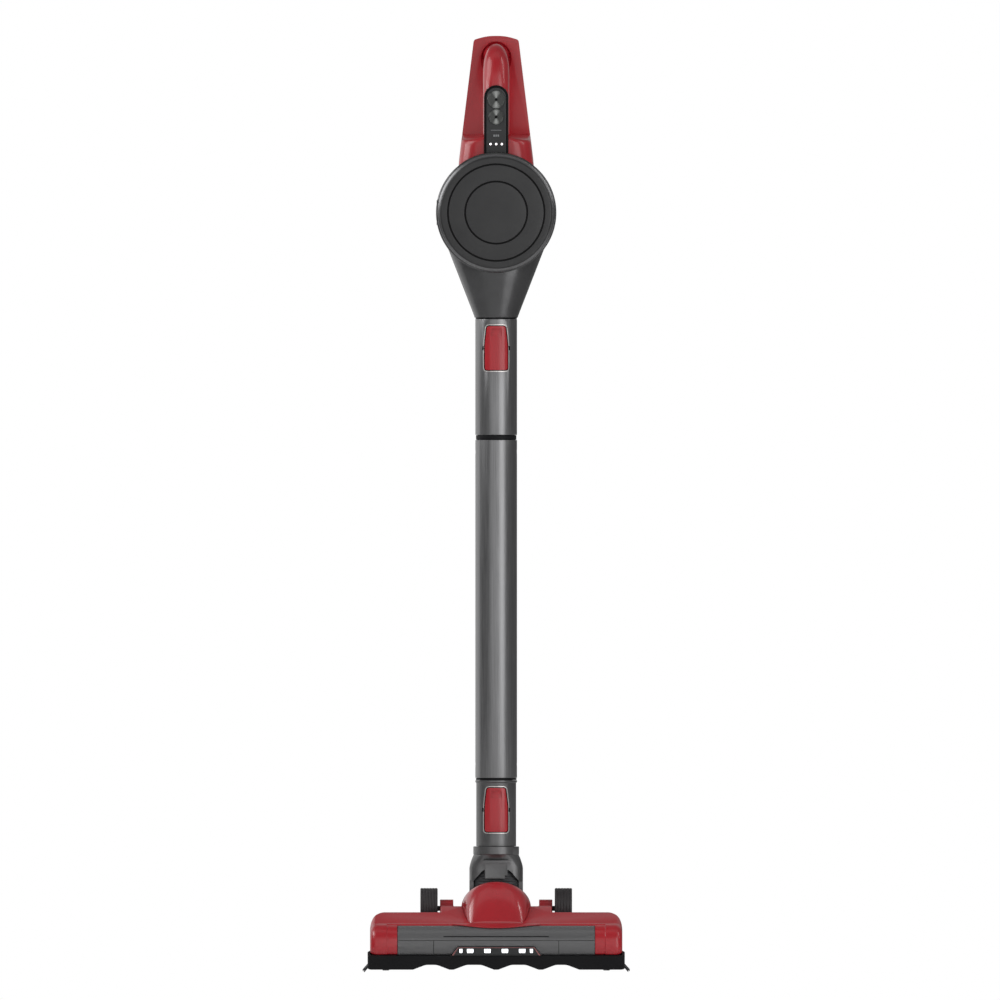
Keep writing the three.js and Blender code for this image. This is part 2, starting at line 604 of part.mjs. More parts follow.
const COLLAR_TOP_Z = up(147.4);
const CHEEK_OUT = 31.6;
const CHEEK_IN = 26.6;
const EYE_RADIUS = 11;
const HOSE_RADIUS = 16;
const HOSE_TOP = 40;            // top of the ribbed hose above the neck pivot, along the wand

function buildNeckCoupling() {
  const wall = turnedWand([[SLEEVE_BORE, up(225.5)], [TUBE_RADIUS, up(225.5)], [TUBE_RADIUS, up(223.1)],
    [NECK_RADIUS, up(222.4)], [NECK_RADIUS, COLLAR_TOP_Z + GAP], [21.4, COLLAR_TOP_Z + GAP],
    [21.4, up(134)], [PLUG_BORE, up(134)], [PLUG_BORE, up(170)], [SLEEVE_BORE, up(176)],
    [SLEEVE_BORE, up(225.5)]], AROUND_LARGE);
  return cut(wall, buttonPocket(LOWER_BUTTON_Z));
}

function buildNeckYoke() {
  const section = (height, halfX, halfY, power) => {
    const centre = new THREE.Vector3(0, WAND_Y, up(height));
    return ovalRing(centre, new THREE.Vector3(halfX, 0, 0), new THREE.Vector3(0, halfY, 0), power, 24);
  };
  const hood = loft([section(147.4, 27, 27, 2), section(138.5, 27, 27, 2), section(136, 27.8, 24, 2.3),
    section(123, CHEEK_OUT, 20, 3.6), section(106, CHEEK_OUT, 20, 3.6)]);
  const neckBore = bar('z', up(133), up(150), 0, WAND_Y, 21.8);
  const hoseBore = bar('z', up(90), up(134), 0, WAND_Y, HOSE_RADIUS + 1.2);
  const arch = outline([[-CHEEK_IN, up(100)], [-CHEEK_IN, up(107), 1], [-14.5, up(121), 6],
    [14.5, up(121), 6], [CHEEK_IN, up(107), 1], [CHEEK_IN, up(100)]]);
  const archCut = prism('y', arch, WAND_Y - 40, WAND_Y + 40);
  const cheeks = [-1, 1].map((side) => {
    const [x0, x1] = side > 0 ? [CHEEK_IN, CHEEK_OUT] : [-CHEEK_OUT, -CHEEK_IN];
    const plate = block(x0, x1, WAND_Y - EYE_RADIUS, WAND_Y + EYE_RADIUS, PIVOT_UP, up(108));
    return join(plate, bar('x', x0, x1, WAND_Y, PIVOT_UP, EYE_RADIUS));
  });
  const pinHole = bar('x', -40, 40, WAND_Y, PIVOT_UP, 3.1, AROUND_SMALL);
  return cut(join(cut(hood, archCut), ...cheeks), neckBore, hoseBore, pinHole);
}

// Leans forward at its top to follow the yoke's flare.
function buildNeckPlate() {
  const shape = outline([[-13.3, 0], [-13.3, 16.4], [-17.5, 21.9], [17.5, 21.9], [13.3, 16.4],
    [13.3, 3.9], [10.5, 3.9], [10.5, 0]], 0.6);
  return prism('y', shape, -2.2, 0, 1).rotate([7.3, 0, 0]).translate([0, WAND_Y - 20.4, up(109.6)]);
}

// The ribbed hose from the head's throat up into the yoke, in the head's own frame.
function hoseCurve() {
  const top = new THREE.Vector3(0, PIVOT_Y + HOSE_TOP * TILT_SIN, PIVOT_Z + HOSE_TOP * TILT_COS);
  const bottom = new THREE.Vector3(0, THROAT_END_Y, THROAT_END_Z);
  const leaving = new THREE.Vector3(0, Math.cos(THROAT_LEAN), Math.sin(THROAT_LEAN));
  const entering = new THREE.Vector3(0, TILT_SIN, TILT_COS);
  return new THREE.CubicBezierCurve3(
    bottom.clone().addScaledVector(leaving, GAP),
    bottom.clone().addScaledVector(leaving, 16),
    top.clone().addScaledVector(entering, -14),
    top,
  );
}

const THROAT_END_Y = 104;
const THROAT_END_Z = 36;
const THROAT_LEAN = radians(48);

function buildNeckHose() {
  const ring = new THREE.Shape().absarc(0, 0, HOSE_RADIUS, 0, 2 * Math.PI);
  ring.holes.push(new THREE.Path().absarc(0, 0, HOSE_RADIUS - 1.6, 0, 2 * Math.PI, true));
  const options = { steps: 6, extrudePath: hoseCurve(), curveSegments: 7, bevelEnabled: false };
  return solid(new THREE.ExtrudeGeometry(ring, options));
}

addNode(machine, 'neck_coupling', 'dark_satin', buildNeckCoupling());
addNode(machine, 'lower_release_button', 'red_gloss', buildReleaseButton(LOWER_BUTTON_Z));
addNode(machine, 'lower_button_pin', 'steel', buildButtonPin(LOWER_BUTTON_Z));
addNode(machine, 'neck_yoke', 'dark_satin', buildNeckYoke());
addNode(machine, 'neck_plate', 'dark_satin', buildNeckPlate());
addNode(head, 'neck_hose', 'rubber_black', buildNeckHose());
for (const [side, name] of [[-1, 'pivot_pin_left'], [1, 'pivot_pin_right']]) {
  const [from, to] = side > 0 ? [19.6, 31.2] : [-31.2, -19.6];
  addNode(machine, name, 'steel', bar('x', from, to, WAND_Y, PIVOT_UP, 2.8, AROUND_SMALL));
}

// ---- floor head: covers (head frame: Y back from the front edge, Z up from the floor) ------

const DECK_Z = 45;
const COVER_RADIUS = 25.5;      // outside of the cover, round the brush axis
const COVER_BACK_Y = 75;
const SEAM_Z = 22.4;            // seam between the cover and the black base
const COVER_WALL = 2.2;

// Side profile of the cover, shrunk inwards by an inset.
function coverProfile(inset) {
  const radius = COVER_RADIUS - inset;
  const shape = new THREE.Shape();
  shape.moveTo(BRUSH_Y - radius, BRUSH_Z - 5);
  shape.lineTo(BRUSH_Y - radius, BRUSH_Z);
  shape.absarc(BRUSH_Y, BRUSH_Z, radius, Math.PI, Math.PI / 2, true);
  shape.lineTo(COVER_BACK_Y - inset - 6, DECK_Z - inset);
  shape.quadraticCurveTo(COVER_BACK_Y - inset, DECK_Z - inset, COVER_BACK_Y - inset, DECK_Z - inset - 6);
  shape.lineTo(COVER_BACK_Y - inset, BRUSH_Z - 5);
  shape.closePath();
  return shape;
}

function coverPlan(inset) {
  const half = HEAD_HALF - inset;
  const back = COVER_BACK_Y - inset + 0.5;
  return outline([[-half, -3 + inset, 9], [-half, back, 38], [half, back, 38], [half, -3 + inset, 9]]);
}

function arcWindow(radiusIn, radiusOut, halfWidth, fromDegrees, toDegrees) {
  const shape = new THREE.Shape();
  shape.absarc(BRUSH_Y, BRUSH_Z, radiusOut, radians(fromDegrees), radians(toDegrees), false);
  shape.absarc(BRUSH_Y, BRUSH_Z, radiusIn, radians(toDegrees), radians(fromDegrees), true);
  shape.closePath();
  return prism('x', shape, -halfWidth, halfWidth, 8);
}

function buildHeadCover() {
  const outer = prism('x', coverProfile(0), -HEAD_HALF, HEAD_HALF, 8)
    .intersect(prism('z', coverPlan(0), SEAM_Z, 60, 6));
  const inner = prism('x', coverProfile(COVER_WALL), -HEAD_HALF, HEAD_HALF, 8)
    .intersect(prism('z', coverPlan(COVER_WALL), 0, 60, 6));
  const back = block(-66, 66, COVER_BACK_Y - 3, 88, 36, DECK_Z);
  const opening = arcWindow(12, 40, WINDOW_HALF + GAP, 80, 184);
  const underDome = block(-36, 36, 40, 95, 15, 60);
  return cut(join(cut(outer, inner), back), opening, underDome, domeSolid(-GAP), axleRelief(12));
}

// Space that the two axle lugs need in a neighbouring piece.
function axleRelief(radius) {
  return join(
    bar('x', -67, -50, WHEEL_Y, WHEEL_RADIUS, radius),
    bar('x', 50, 67, WHEEL_Y, WHEEL_RADIUS, radius),
  );
}

const DOME_FRONT_Y = 36;
const DOME_BACK_Y = 93;
const DOME_BASE_Z = 40;
const DOME_HIGH = 33.6;
const DOME_HALF = 40.5;
const DOME_ARC_STEPS = 12;

function domeSolid(inset) {
  const length = DOME_BACK_Y - DOME_FRONT_Y;
  const rings = [];
  const stations = [0.02, 0.07, 0.16, 0.32, 0.6, 1];
  stations.forEach((share) => {
    const short = 1 - share;
    const half = DOME_HALF * (1 - short ** 2.9) ** (1 / 2.9) - inset;
    const high = Math.max(DOME_HIGH * (1 - short ** 2.2) ** (1 / 2.2) - inset, 0.4);
    const y = DOME_FRONT_Y + inset + (length - inset) * share + (inset > 0 && share === 1 ? 2 : 0);
    const ring = [];
    for (let i = 0; i <= DOME_ARC_STEPS; i += 1) {
      const angle = (Math.PI * i) / DOME_ARC_STEPS;
      const across = Math.sign(Math.cos(angle)) * Math.abs(Math.cos(angle)) ** 0.8;
      const rise = Math.sin(angle) ** 0.8;
      ring.push(new THREE.Vector3(half * across, y, DOME_BASE_Z + high * rise));
    }
    const skirtZ = DOME_BASE_Z - (inset > 0 ? 3.5 : 0.5);
    ring.push(new THREE.Vector3(-half, y, skirtZ), new THREE.Vector3(half, y, skirtZ));
    rings.push(ring);
  });
  return loft(rings);
}

addNode(head, 'head_cover', 'red_gloss', buildHeadCover());
addNode(head, 'dome_cover', 'red_gloss', cut(domeSolid(0), domeSolid(2.2)));
addNode(head, 'brush_window', 'smoky_clear', arcWindow(22, 24, WINDOW_HALF - 0.2, 81, 181));

// ---- floor head: light bar ----------------------------------------------------------

const LAMP_XS = [-30.6, -10.3, 10.3, 30.6];

function buildLightBezel() {
  const shape = outline([[-52.5, SEAM_Z + GAP], [-45.2, 33.5], [45.2, 33.5], [52.5, SEAM_Z + GAP]], 0.8);
  const bezel = prism('y', shape, -2, 2.4);
  const windows = LAMP_XS.map((x) => block(x - 3.7, x + 3.7, -3, 4, 25.2, 31));
  const ends = [-41.5, 41.5].map((x) => block(x - 1.7, x + 1.7, -3, 4, 25.2, 31));
  return cut(bezel, ...windows, ...ends, block(-44, 44, 0.4, 4, 24.6, 31.6));
}

function buildLightLens() {
  const strip = block(-43.6, 43.6, 0.7, 2.2, 25, 31.2);
  const faces = LAMP_XS.map((x) => block(x - 3.4, x + 3.4, -1.6, 1, 25.5, 30.7));
  const ends = [-41.5, 41.5].map((x) => block(x - 1.4, x + 1.4, -1.6, 1, 25.5, 30.7));
  return join(strip, ...faces, ...ends);
}

addNode(head, 'light_bezel', 'black_panel', buildLightBezel());
addNode(head, 'light_lens', 'white_light', buildLightLens());

// ---- floor head: base ---------------------------------------------------------------

const BASE_LOW_Z = 3.3;
const FLOOR_TOP_Z = 6;
const CHAMBER_HALF = 115.5;
const CHAMBER_BACK_Y = 52;
const MOTOR = { y: 62.3, z: 20, radius: 7.8 };
const PULLEY_X = [118.2, 122.6];
const FRONT_ROLLER = { x: 130, y: 6, radius: 6, half: 3.85 };

function buildHeadBase() {
  const plan = (half, front, back, corner) => outline([[-half, front, 10], [-half, back, corner],
    [half, back, corner], [half, front, 10]]);
  const bumper = cut(
    prism('z', plan(BUMPER_HALF, -2.2, 66, 30), BASE_LOW_Z, SEAM_Z - GAP, 6),
    prism('z', plan(BUMPER_HALF - 2.8, 0.6, 62, 30), BASE_LOW_Z - 1, SEAM_Z + 1, 6),
    block(-200, 200, 50, 90, BASE_LOW_Z - 1, SEAM_Z + 1),
  );
  const floor = prism('z', plan(BUMPER_HALF - 1, -1.8, 74, 38), BASE_LOW_Z, FLOOR_TOP_Z, 6);
  const tail = block(-66.3, 66.3, 70, 108, BASE_LOW_Z, FLOOR_TOP_Z + 1);
  const lugs = [-66.3, 50.6].map((x) => join(
    bar('x', x, x + 15.7, WHEEL_Y, WHEEL_RADIUS, 10.5),
    prism('x', outline([[92, BASE_LOW_Z], [92, 8], [118, 32], [130, 18], [118, BASE_LOW_Z + 6],
      [104, BASE_LOW_Z]]), x, x + 15.7),
  ));
  const brackets = [-25.6, 20.2].map((x) => join(
    bar('x', x, x + 5.4, PIVOT_Y, PIVOT_Z, 7.5),
    prism('x', outline([[96, FLOOR_TOP_Z - 1], [111, 44], [124, 38], [108, FLOOR_TOP_Z - 1]]),
      x, x + 5.4),
  ));
  const wallLow = FLOOR_TOP_Z - 1;
  const wallBack = CHAMBER_BACK_Y + 2;
  const backWall = block(-CHAMBER_HALF, CHAMBER_HALF, CHAMBER_BACK_Y, wallBack, wallLow, 42);
  const endWalls = [-CHAMBER_HALF - 2, CHAMBER_HALF].map((x) => block(x, x + 2, 10, wallBack, wallLow, 34));
  const whole = join(bumper, floor, tail, ...lugs, ...brackets, backWall, ...endWalls);
  const mouth = block(-113, 113, 7, CHAMBER_BACK_Y, 0, FLOOR_TOP_Z + 2);
  const domeNotch = block(-41.5, 41.5, CHAMBER_BACK_Y - 1, wallBack + 1, DOME_BASE_Z - 1, 50);
  const throatHole = block(-16.5, 16.5, CHAMBER_BACK_Y - 2, CHAMBER_BACK_Y + 4, 8.6, 36.4);
  const rollHoles = bar('x', -120, 120, BRUSH_Y, BRUSH_Z, 5.4, AROUND_SMALL);
  const pinHoles = bar('x', -40, 40, PIVOT_Y, PIVOT_Z, 3.1, AROUND_SMALL);
  const axleHoles = bar('x', -80, 80, WHEEL_Y, WHEEL_RADIUS, 3.3, AROUND_SMALL);
  const rollerWells = [-1, 1].map((side) => block(side * 130 - 4.4, side * 130 + 4.4, -0.6, 14, 0, 13.5));
  const tuftSlots = [-1, 1].map((side) => buildCornerTuft(side, GAP));
  const holes = [mouth, domeNotch, throatHole, rollHoles, pinHoles, axleHoles];
  return cut(whole, ...holes, ...rollerWells, ...tuftSlots, ...bumperScallops());
}

// The front edge's lower side lets debris in between its five feet.
function bumperScallops() {
  const spans = [[-98, -58.8], [-46.2, -6.4], [6.4, 46.2], [58.8, 98]];
  return spans.map(([from, to]) => {
    const shape = outline([[from, 0], [from, BASE_LOW_Z], [from + 13, 9.6], [to - 13, 9.6],
      [to, BASE_LOW_Z], [to, 0]]);
    return prism('y', shape, -5, 7.5);
  });
}

addNode(head, 'head_base', 'black_matte', buildHeadBase());

// ---- floor head: brush and drive ----------------------------------------------------

const BRUSH_PULLEY = 10;
const MOTOR_PULLEY = 4;
const BELT_THICK = 1.5;

function buildBrushRoll() {
  const core = bar('x', -112, 112, BRUSH_Y, BRUSH_Z, 14);
  const axle = bar('x', -114.6, PULLEY_X[1] + 1, BRUSH_Y, BRUSH_Z, 4, AROUND_SMALL);
  const pulley = bar('x', PULLEY_X[0], PULLEY_X[1], BRUSH_Y, BRUSH_Z, BRUSH_PULLEY);
  const tufts = [0, 90, 180, 270].map((angle) => {
    const strip = block(-110, 110, -1.4, 1.4, 12, BRUSH_TIP).rotate([angle, 0, 0]);
    return strip.translate([0, BRUSH_Y, BRUSH_Z]);
  });
  return join(core, axle, pulley, ...tufts);
}

function buildDriveBelt() {
  const hull = (extra) => {
    const [near, far] = [BRUSH_PULLEY + extra, MOTOR_PULLEY + extra];
    const run = Math.hypot(MOTOR.y - BRUSH_Y, MOTOR.z - BRUSH_Z);
    const slope = Math.atan2(MOTOR.z - BRUSH_Z, MOTOR.y - BRUSH_Y);
    const wrap = Math.acos((near - far) / run);
    const shape = new THREE.Shape();
    shape.absarc(BRUSH_Y, BRUSH_Z, near, slope + wrap, slope - wrap + 2 * Math.PI, false);
    shape.absarc(MOTOR.y, MOTOR.z, far, slope - wrap, slope + wrap, false);
    shape.closePath();
    return shape;
  };
  const [from, to] = [PULLEY_X[0] + 0.3, PULLEY_X[1] - 0.3];
  return cut(prism('x', hull(BELT_THICK + GAP), from, to, 8), prism('x', hull(GAP), from - 1, to + 1, 8));
}

function buildBrushMotor() {
  const can = bar('x', 46, 108, MOTOR.y, MOTOR.z, MOTOR.radius);
  const tail = bar('x', 38, 47, MOTOR.y, MOTOR.z, 4, AROUND_SMALL);
  const shaftHole = bar('x', 98, 110, MOTOR.y, MOTOR.z, 1.9, AROUND_SMALL);
  return cut(join(can, tail), shaftHole);
}

addNode(head, 'brush_roll', 'bristle_dark', buildBrushRoll());
addNode(head, 'brush_bearing', 'brushed_metal',
  pipe('x', -CHAMBER_HALF - 1.8, -CHAMBER_HALF + 0.6, BRUSH_Y, BRUSH_Z, 5.1, 4.3, AROUND_SMALL));
addNode(head, 'brush_motor', 'motor_grey', buildBrushMotor());
addNode(head, 'motor_pulley', 'steel', join(
  bar('x', 100, PULLEY_X[1], MOTOR.y, MOTOR.z, 1.6, AROUND_SMALL),
  bar('x', PULLEY_X[0], PULLEY_X[1], MOTOR.y, MOTOR.z, MOTOR_PULLEY, AROUND_SMALL),
));
addNode(head, 'drive_belt', 'rubber_black', buildDriveBelt());

// ---- floor head: throat, wheels and corner tufts ------------------------------------

function buildSuctionThroat() {
  const section = (y, z, lean, halfX, half, power) => {
    const alongAxis = new THREE.Vector3(0, -Math.sin(lean), Math.cos(lean)).multiplyScalar(half);
    return ovalRing(new THREE.Vector3(0, y, z), new THREE.Vector3(halfX, 0, 0), alongAxis, power);
  };
  const rings = (wall, over) => {
    const endY = THROAT_END_Y + over * Math.cos(THROAT_LEAN);
    const endZ = THROAT_END_Z + over * Math.sin(THROAT_LEAN);
    return [
      section(CHAMBER_BACK_Y + 2.4 - over, 22.5, 0, 16 - wall, 13.5 - wall, 5),
      section(76, 23, radians(4), 16.5 - wall, 13.5 - wall, 4),
      section(93, 26.5, radians(25), 16.6 - wall, 14.5 - wall, 2.6),
      section(endY, endZ, THROAT_LEAN, 16 - wall, 16 - wall, 2),
    ];
  };
  return cut(loft(rings(0, 0)), loft(rings(1.8, 1)));
}

function buildRearWheel(side) {
  const inner = side * (WHEEL_X - 10.2);
  const outer = side * (WHEEL_X + 10.2);
  const [from, to] = side > 0 ? [inner, outer] : [outer, inner];
  const [shaftFrom, shaftTo] = side > 0 ? [49.8, inner + 2] : [inner - 2, -49.8];
  const wheel = bar('x', from, to, WHEEL_Y, WHEEL_RADIUS, WHEEL_RADIUS, AROUND_LARGE);
  const face = side > 0 ? [outer - 2, outer + 1] : [outer - 1, outer + 2];
  const recess = pipe('x', face[0], face[1], WHEEL_Y, WHEEL_RADIUS, 18, 6);
  return join(cut(wheel, recess), bar('x', shaftFrom, shaftTo, WHEEL_Y, WHEEL_RADIUS, 3, AROUND_SMALL));
}

function buildFrontRoller(side) {
  const { x, y, radius, half } = FRONT_ROLLER;
  return bar('x', side * x - half, side * x + half, y, radius, radius);
}

function buildCornerTuft(side, grow = 0) {
  const strip = block(-1.75 - grow, 1.75 + grow, -1.9 - grow, 4 + grow, -7.2, 7.2 + grow);
  return strip.rotate([0, side * -38, 0]).translate([side * 152, 4.4, 4.9]);
}

addNode(head, 'suction_throat', 'black_matte', buildSuctionThroat());
for (const [side, name] of [[-1, 'left'], [1, 'right']]) {
  addNode(head, `rear_wheel_${name}`, 'rubber_black', buildRearWheel(side));
  addNode(head, `front_roller_${name}`, 'rubber_black', buildFrontRoller(side));
  addNode(head, `corner_tuft_${name}`, 'bristle_dark', buildCornerTuft(side));
}

export default machine;
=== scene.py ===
"""Looks of the cordless stick vacuum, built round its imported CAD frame.

Shapes are made in millimetres, in the machine's own frame or in the floor head's, and scaled to metres
when each piece is finished. X is to the right, Y towards the wall dock, Z up.
"""

import json
import math
import random

import bmesh
import bpy
from mathutils import Matrix, Vector


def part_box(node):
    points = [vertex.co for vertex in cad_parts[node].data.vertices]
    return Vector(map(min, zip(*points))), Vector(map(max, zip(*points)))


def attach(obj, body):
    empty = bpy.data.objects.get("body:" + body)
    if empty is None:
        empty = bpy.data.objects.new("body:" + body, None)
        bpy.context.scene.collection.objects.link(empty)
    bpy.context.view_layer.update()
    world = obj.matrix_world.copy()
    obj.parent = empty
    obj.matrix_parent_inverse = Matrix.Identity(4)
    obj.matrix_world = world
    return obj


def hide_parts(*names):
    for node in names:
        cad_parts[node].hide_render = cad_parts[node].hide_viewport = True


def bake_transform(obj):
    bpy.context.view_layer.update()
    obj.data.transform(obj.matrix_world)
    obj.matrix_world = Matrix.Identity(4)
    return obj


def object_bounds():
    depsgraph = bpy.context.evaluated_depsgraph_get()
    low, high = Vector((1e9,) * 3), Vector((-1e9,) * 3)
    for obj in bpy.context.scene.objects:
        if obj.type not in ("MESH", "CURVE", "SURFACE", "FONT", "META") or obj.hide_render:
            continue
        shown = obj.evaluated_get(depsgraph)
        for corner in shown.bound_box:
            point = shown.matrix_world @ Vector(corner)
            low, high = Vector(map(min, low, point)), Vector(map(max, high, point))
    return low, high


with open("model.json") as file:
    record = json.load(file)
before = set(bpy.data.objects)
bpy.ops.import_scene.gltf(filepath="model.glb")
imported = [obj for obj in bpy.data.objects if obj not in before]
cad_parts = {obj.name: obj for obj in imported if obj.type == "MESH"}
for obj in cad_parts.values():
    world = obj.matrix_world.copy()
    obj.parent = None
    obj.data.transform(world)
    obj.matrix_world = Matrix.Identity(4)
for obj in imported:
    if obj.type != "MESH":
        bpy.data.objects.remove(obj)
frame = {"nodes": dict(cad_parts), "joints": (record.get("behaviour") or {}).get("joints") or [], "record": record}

CAD_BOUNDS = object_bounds()

# ---- places and sizes, in millimetres ----

MM = 0.001
ROUND = 96                      # facets round a turned piece
ROUND_BIG = 160                 # and round the widest ones
ROUND_SMALL = 40                # and round pins and buttons' holes


def corners(node):
    """A CAD node's lowest and highest corners."""
    low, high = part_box(node)
    return low / MM, high / MM


def joint_place(name):
    """The point that a hinge turns about."""
    joint = next(j for j in frame["joints"] if j["name"] == name)
    return Vector(joint["pos_m"]) / MM


TUBE_LOW, TUBE_HIGH = corners("wand_tube")
CUP_LOW, CUP_HIGH = corners("dust_cup")
COUPLING_LOW, COUPLING_HIGH = corners("upper_coupling")
NECK_LOW, NECK_HIGH = corners("neck_coupling")
PACK_LOW, PACK_HIGH = corners("battery_case")
BAY_LOW, BAY_HIGH = corners("battery_bay")
PANEL_LOW, PANEL_HIGH = corners("control_panel")
PIVOT = joint_place("neck_pitch")
LID_HINGE = joint_place("cup_lid_swing")

WAND_Y = PIVOT.y
WAND_BORE = 17.5
SPIGOT_RADIUS = 19.2
TUBE_RADIUS = 24.6
LID_RADIUS = 69
RING_RADIUS = 71
RING_BORE = 57
CUP_OUTER = 69
CUP_INNER = 66.5
GRIP_FRONT = -160
GRIP_HALF = 15.5
AHEAD_Y = -170                  # clear of the grip's front, where cutters start
BODY_LOW_Z = 57                 # where the tapering handle body is widest
BODY_TOP_Z = 209
BODY_LOW_HALF = 44.5
BODY_TOP_HALF = 26.5

HEAD_TILT = math.radians(25)    # how far the floor head hangs nose-down
HEAD_PIVOT = Vector((0, 118, 42))
HEAD_HALF = 148.6
BRUSH_Y = 27                    # brush axis, in the head's own frame
BRUSH_Z = 22
COVER_RADIUS = 25.5
DECK_Z = 45
COVER_BACK_Y = 75
SEAM_Z = 22.4
WINDOW_HALF = 116.3
WHEEL_Y = 124
WHEEL_RADIUS = 24
WHEEL_X = 79.3
PIN_HOLE = 3.1                  # radius of the holes for the neck's two pivot pins

# points on the lines that things turn about or stand round, the last two in the head's own frame
WAND_AXIS = (0, WAND_Y, 0)
BRUSH_AXIS = (0, BRUSH_Y, BRUSH_Z)
WHEEL_AXIS = (0, WHEEL_Y, WHEEL_RADIUS)

MACHINE = Matrix.Identity(4)
HEAD_TURN = Matrix.Rotation(HEAD_TILT, 4, "X")
HEAD = Matrix.Translation(PIVOT - HEAD_TURN @ HEAD_PIVOT) @ HEAD_TURN


# ---- making and cutting meshes ----

def mesh_piece(name, points, faces):
    """A new object from points and faces, with its faces pointing out."""
    mesh = bpy.data.meshes.new(name)
    mesh.from_pydata([tuple(point) for point in points], [], faces)
    work = bmesh.new()
    work.from_mesh(mesh)
    bmesh.ops.remove_doubles(work, verts=work.verts, dist=1e-4)
    bmesh.ops.recalc_face_normals(work, faces=work.faces)
    work.to_mesh(mesh)
    work.free()
    piece = bpy.data.objects.new(name, mesh)
    bpy.context.scene.collection.objects.link(piece)
    return piece


def arc(u, v, radius, start, end, steps=16):
    """Points on an arc, from one angle in degrees to another."""
    angles = [math.radians(start + (end - start) * i / steps) for i in range(steps + 1)]
    return [(u + radius * math.cos(a), v + radius * math.sin(a)) for a in angles]


def rounded(points, radius=0.0, steps=5):
    """A closed outline whose corners are small curves; a point may carry its own radius."""
    found = []
    for index, point in enumerate(points):
        here = Vector(point[:2])
        before = Vector(points[index - 1][:2]) - here
        after = Vector(points[(index + 1) % len(points)][:2]) - here
        reach = point[2] if len(point) > 2 else radius
        reach = min(reach, before.length / 2, after.length / 2)
        if reach < 0.02:
            found.append(here)
            continue
        start, end = here + before.normalized() * reach, here + after.normalized() * reach
        for i in range(steps + 1):
            t = i / steps
            found.append(start * (1 - t) ** 2 + here * 2 * t * (1 - t) + end * t * t)
    return [(point[0], point[1]) for point in found]


def mirrored(side):
    """An outline that is even about x = 0, from the points up its left side."""
    return [*side, *((-point[0], *point[1:]) for point in reversed(side))]


def turned_point(axis, radius, angle, height, at):
    """A point at a radius and angle round an axis line."""
    u, v = radius * math.cos(angle), radius * math.sin(angle)
    place = {"x": (height, u, v), "y": (u, height, v), "z": (u, v, height)}[axis]
    return Vector(place) + Vector(at)


def lathe(name, profile, axis="y", at=(0, 0, 0), steps=ROUND, radius=0.0):
    """A turned solid from a closed profile of (radius, place along the axis)."""
    outline = rounded(profile, radius, 3)
    points, rings = [], []
    for reach, height in outline:
        count = steps if reach > 1e-3 else 1
        first = len(points)
        for i in range(count):
            points.append(turned_point(axis, reach, 2 * math.pi * i / steps, height, at))
        rings.append((first, count))
    faces = []
    for index, (a, a_count) in enumerate(rings):
        b, b_count = rings[(index + 1) % len(rings)]
        if a_count == 1 and b_count == 1:
            continue
        for i in range(steps):
            j = (i + 1) % steps
            corners_here = [a + i % a_count, a + j % a_count, b + j % b_count, b + i % b_count]
            faces.append(list(dict.fromkeys(corners_here)))
    return mesh_piece(name, points, faces)


def rod(name, axis, low, high, at, radius, edge=0.4, steps=ROUND_SMALL):
    """A round bar with softened ends."""
    profile = [(0, low, 0), (radius, low, edge), (radius, high, edge), (0, high, 0)]
    return lathe(name, profile, axis, at, steps)


def tube(name, axis, low, high, at, outer, inner, edge=0.4, steps=ROUND):
    """A round pipe with softened ends."""
    return lathe(name, [(inner, low), (outer, low), (outer, high), (inner, high)], axis, at, steps, edge)


def prism(name, outline, axis, low, high):
    """An outline pushed along an axis; it is (y, z) for x, (x, z) for y and (x, y) for z."""
    order = {"x": (2, 0, 1), "y": (0, 2, 1), "z": (0, 1, 2)}[axis]
    points = []
    for height in (low, high):
        for u, v in outline:
            flat = (u, v, height)
            points.append([flat[k] for k in order])
    count = len(outline)
    faces = [list(range(count)), list(range(count, 2 * count))]
    for i in range(count):
        j = (i + 1) % count
        faces.append([i, j, count + j, count + i])
    return mesh_piece(name, points, faces)


def block(name, x0, x1, y0, y1, z0, z1):
    """A plain block, used for cutting and as a start for softened pieces."""
    return prism(name, [(x0, y0), (x1, y0), (x1, y1), (x0, y1)], "z", z0, z1)


def loft(name, rings, closed=False):
    """A skin over rings of equally many points, with capped ends unless it closes on itself."""
    count = len(rings[0])
    points = [point for ring in rings for point in ring]
    pairs = len(rings) if closed else len(rings) - 1
    faces = []
    for index in range(pairs):
        a, b = index * count, ((index + 1) % len(rings)) * count
        for i in range(count):
            j = (i + 1) % count
            faces.append([a + i, a + j, b + j, b + i])
    if not closed:
        faces.append(list(range(count)))
        faces.append(list(range(len(points) - count, len(points))))
    return mesh_piece(name, points, faces)


def ring_of_slots(count, start, step, *sizes):
    """Equal blocks set round the front-to-back axis, in one piece, used for cutting."""
    slots = []
    for i in range(count):
        slot = block("slot", *sizes)
        slot.data.transform(Matrix.Rotation(math.radians(start + step * i), 4, "Y"))
        slots.append(slot)
    return gather(*slots)


def oval(centre, across, along, power=2.0, steps=64):
    """A ring of points on a superellipse."""
    ring = []
    for i in range(steps):
        angle = 2 * math.pi * i / steps
        c, s = math.cos(angle), math.sin(angle)
        u = math.copysign(abs(c) ** (2 / power), c)
        v = math.copysign(abs(s) ** (2 / power), s)
        ring.append(Vector(centre) + Vector(across) * u + Vector(along) * v)
    return ring


def smooth_between(values, steps):
    """Rows of numbers joined by a smooth curve through each, in equal steps."""
    rows = []
    for index in range(len(values) - 1):
        p0 = values[max(index - 1, 0)]
        p1, p2 = values[index], values[index + 1]
        p3 = values[min(index + 2, len(values) - 1)]
        for k in range(steps):
            t = k / steps
            row = []
            for a, b, c, d in zip(p0, p1, p2, p3):
                bend = 2 * b + (c - a) * t + (2 * a - 5 * b + 4 * c - d) * t * t
                row.append((bend + (3 * b - a - 3 * c + d) * t ** 3) / 2)
            rows.append(row)
    rows.append(list(values[-1]))
    return rows


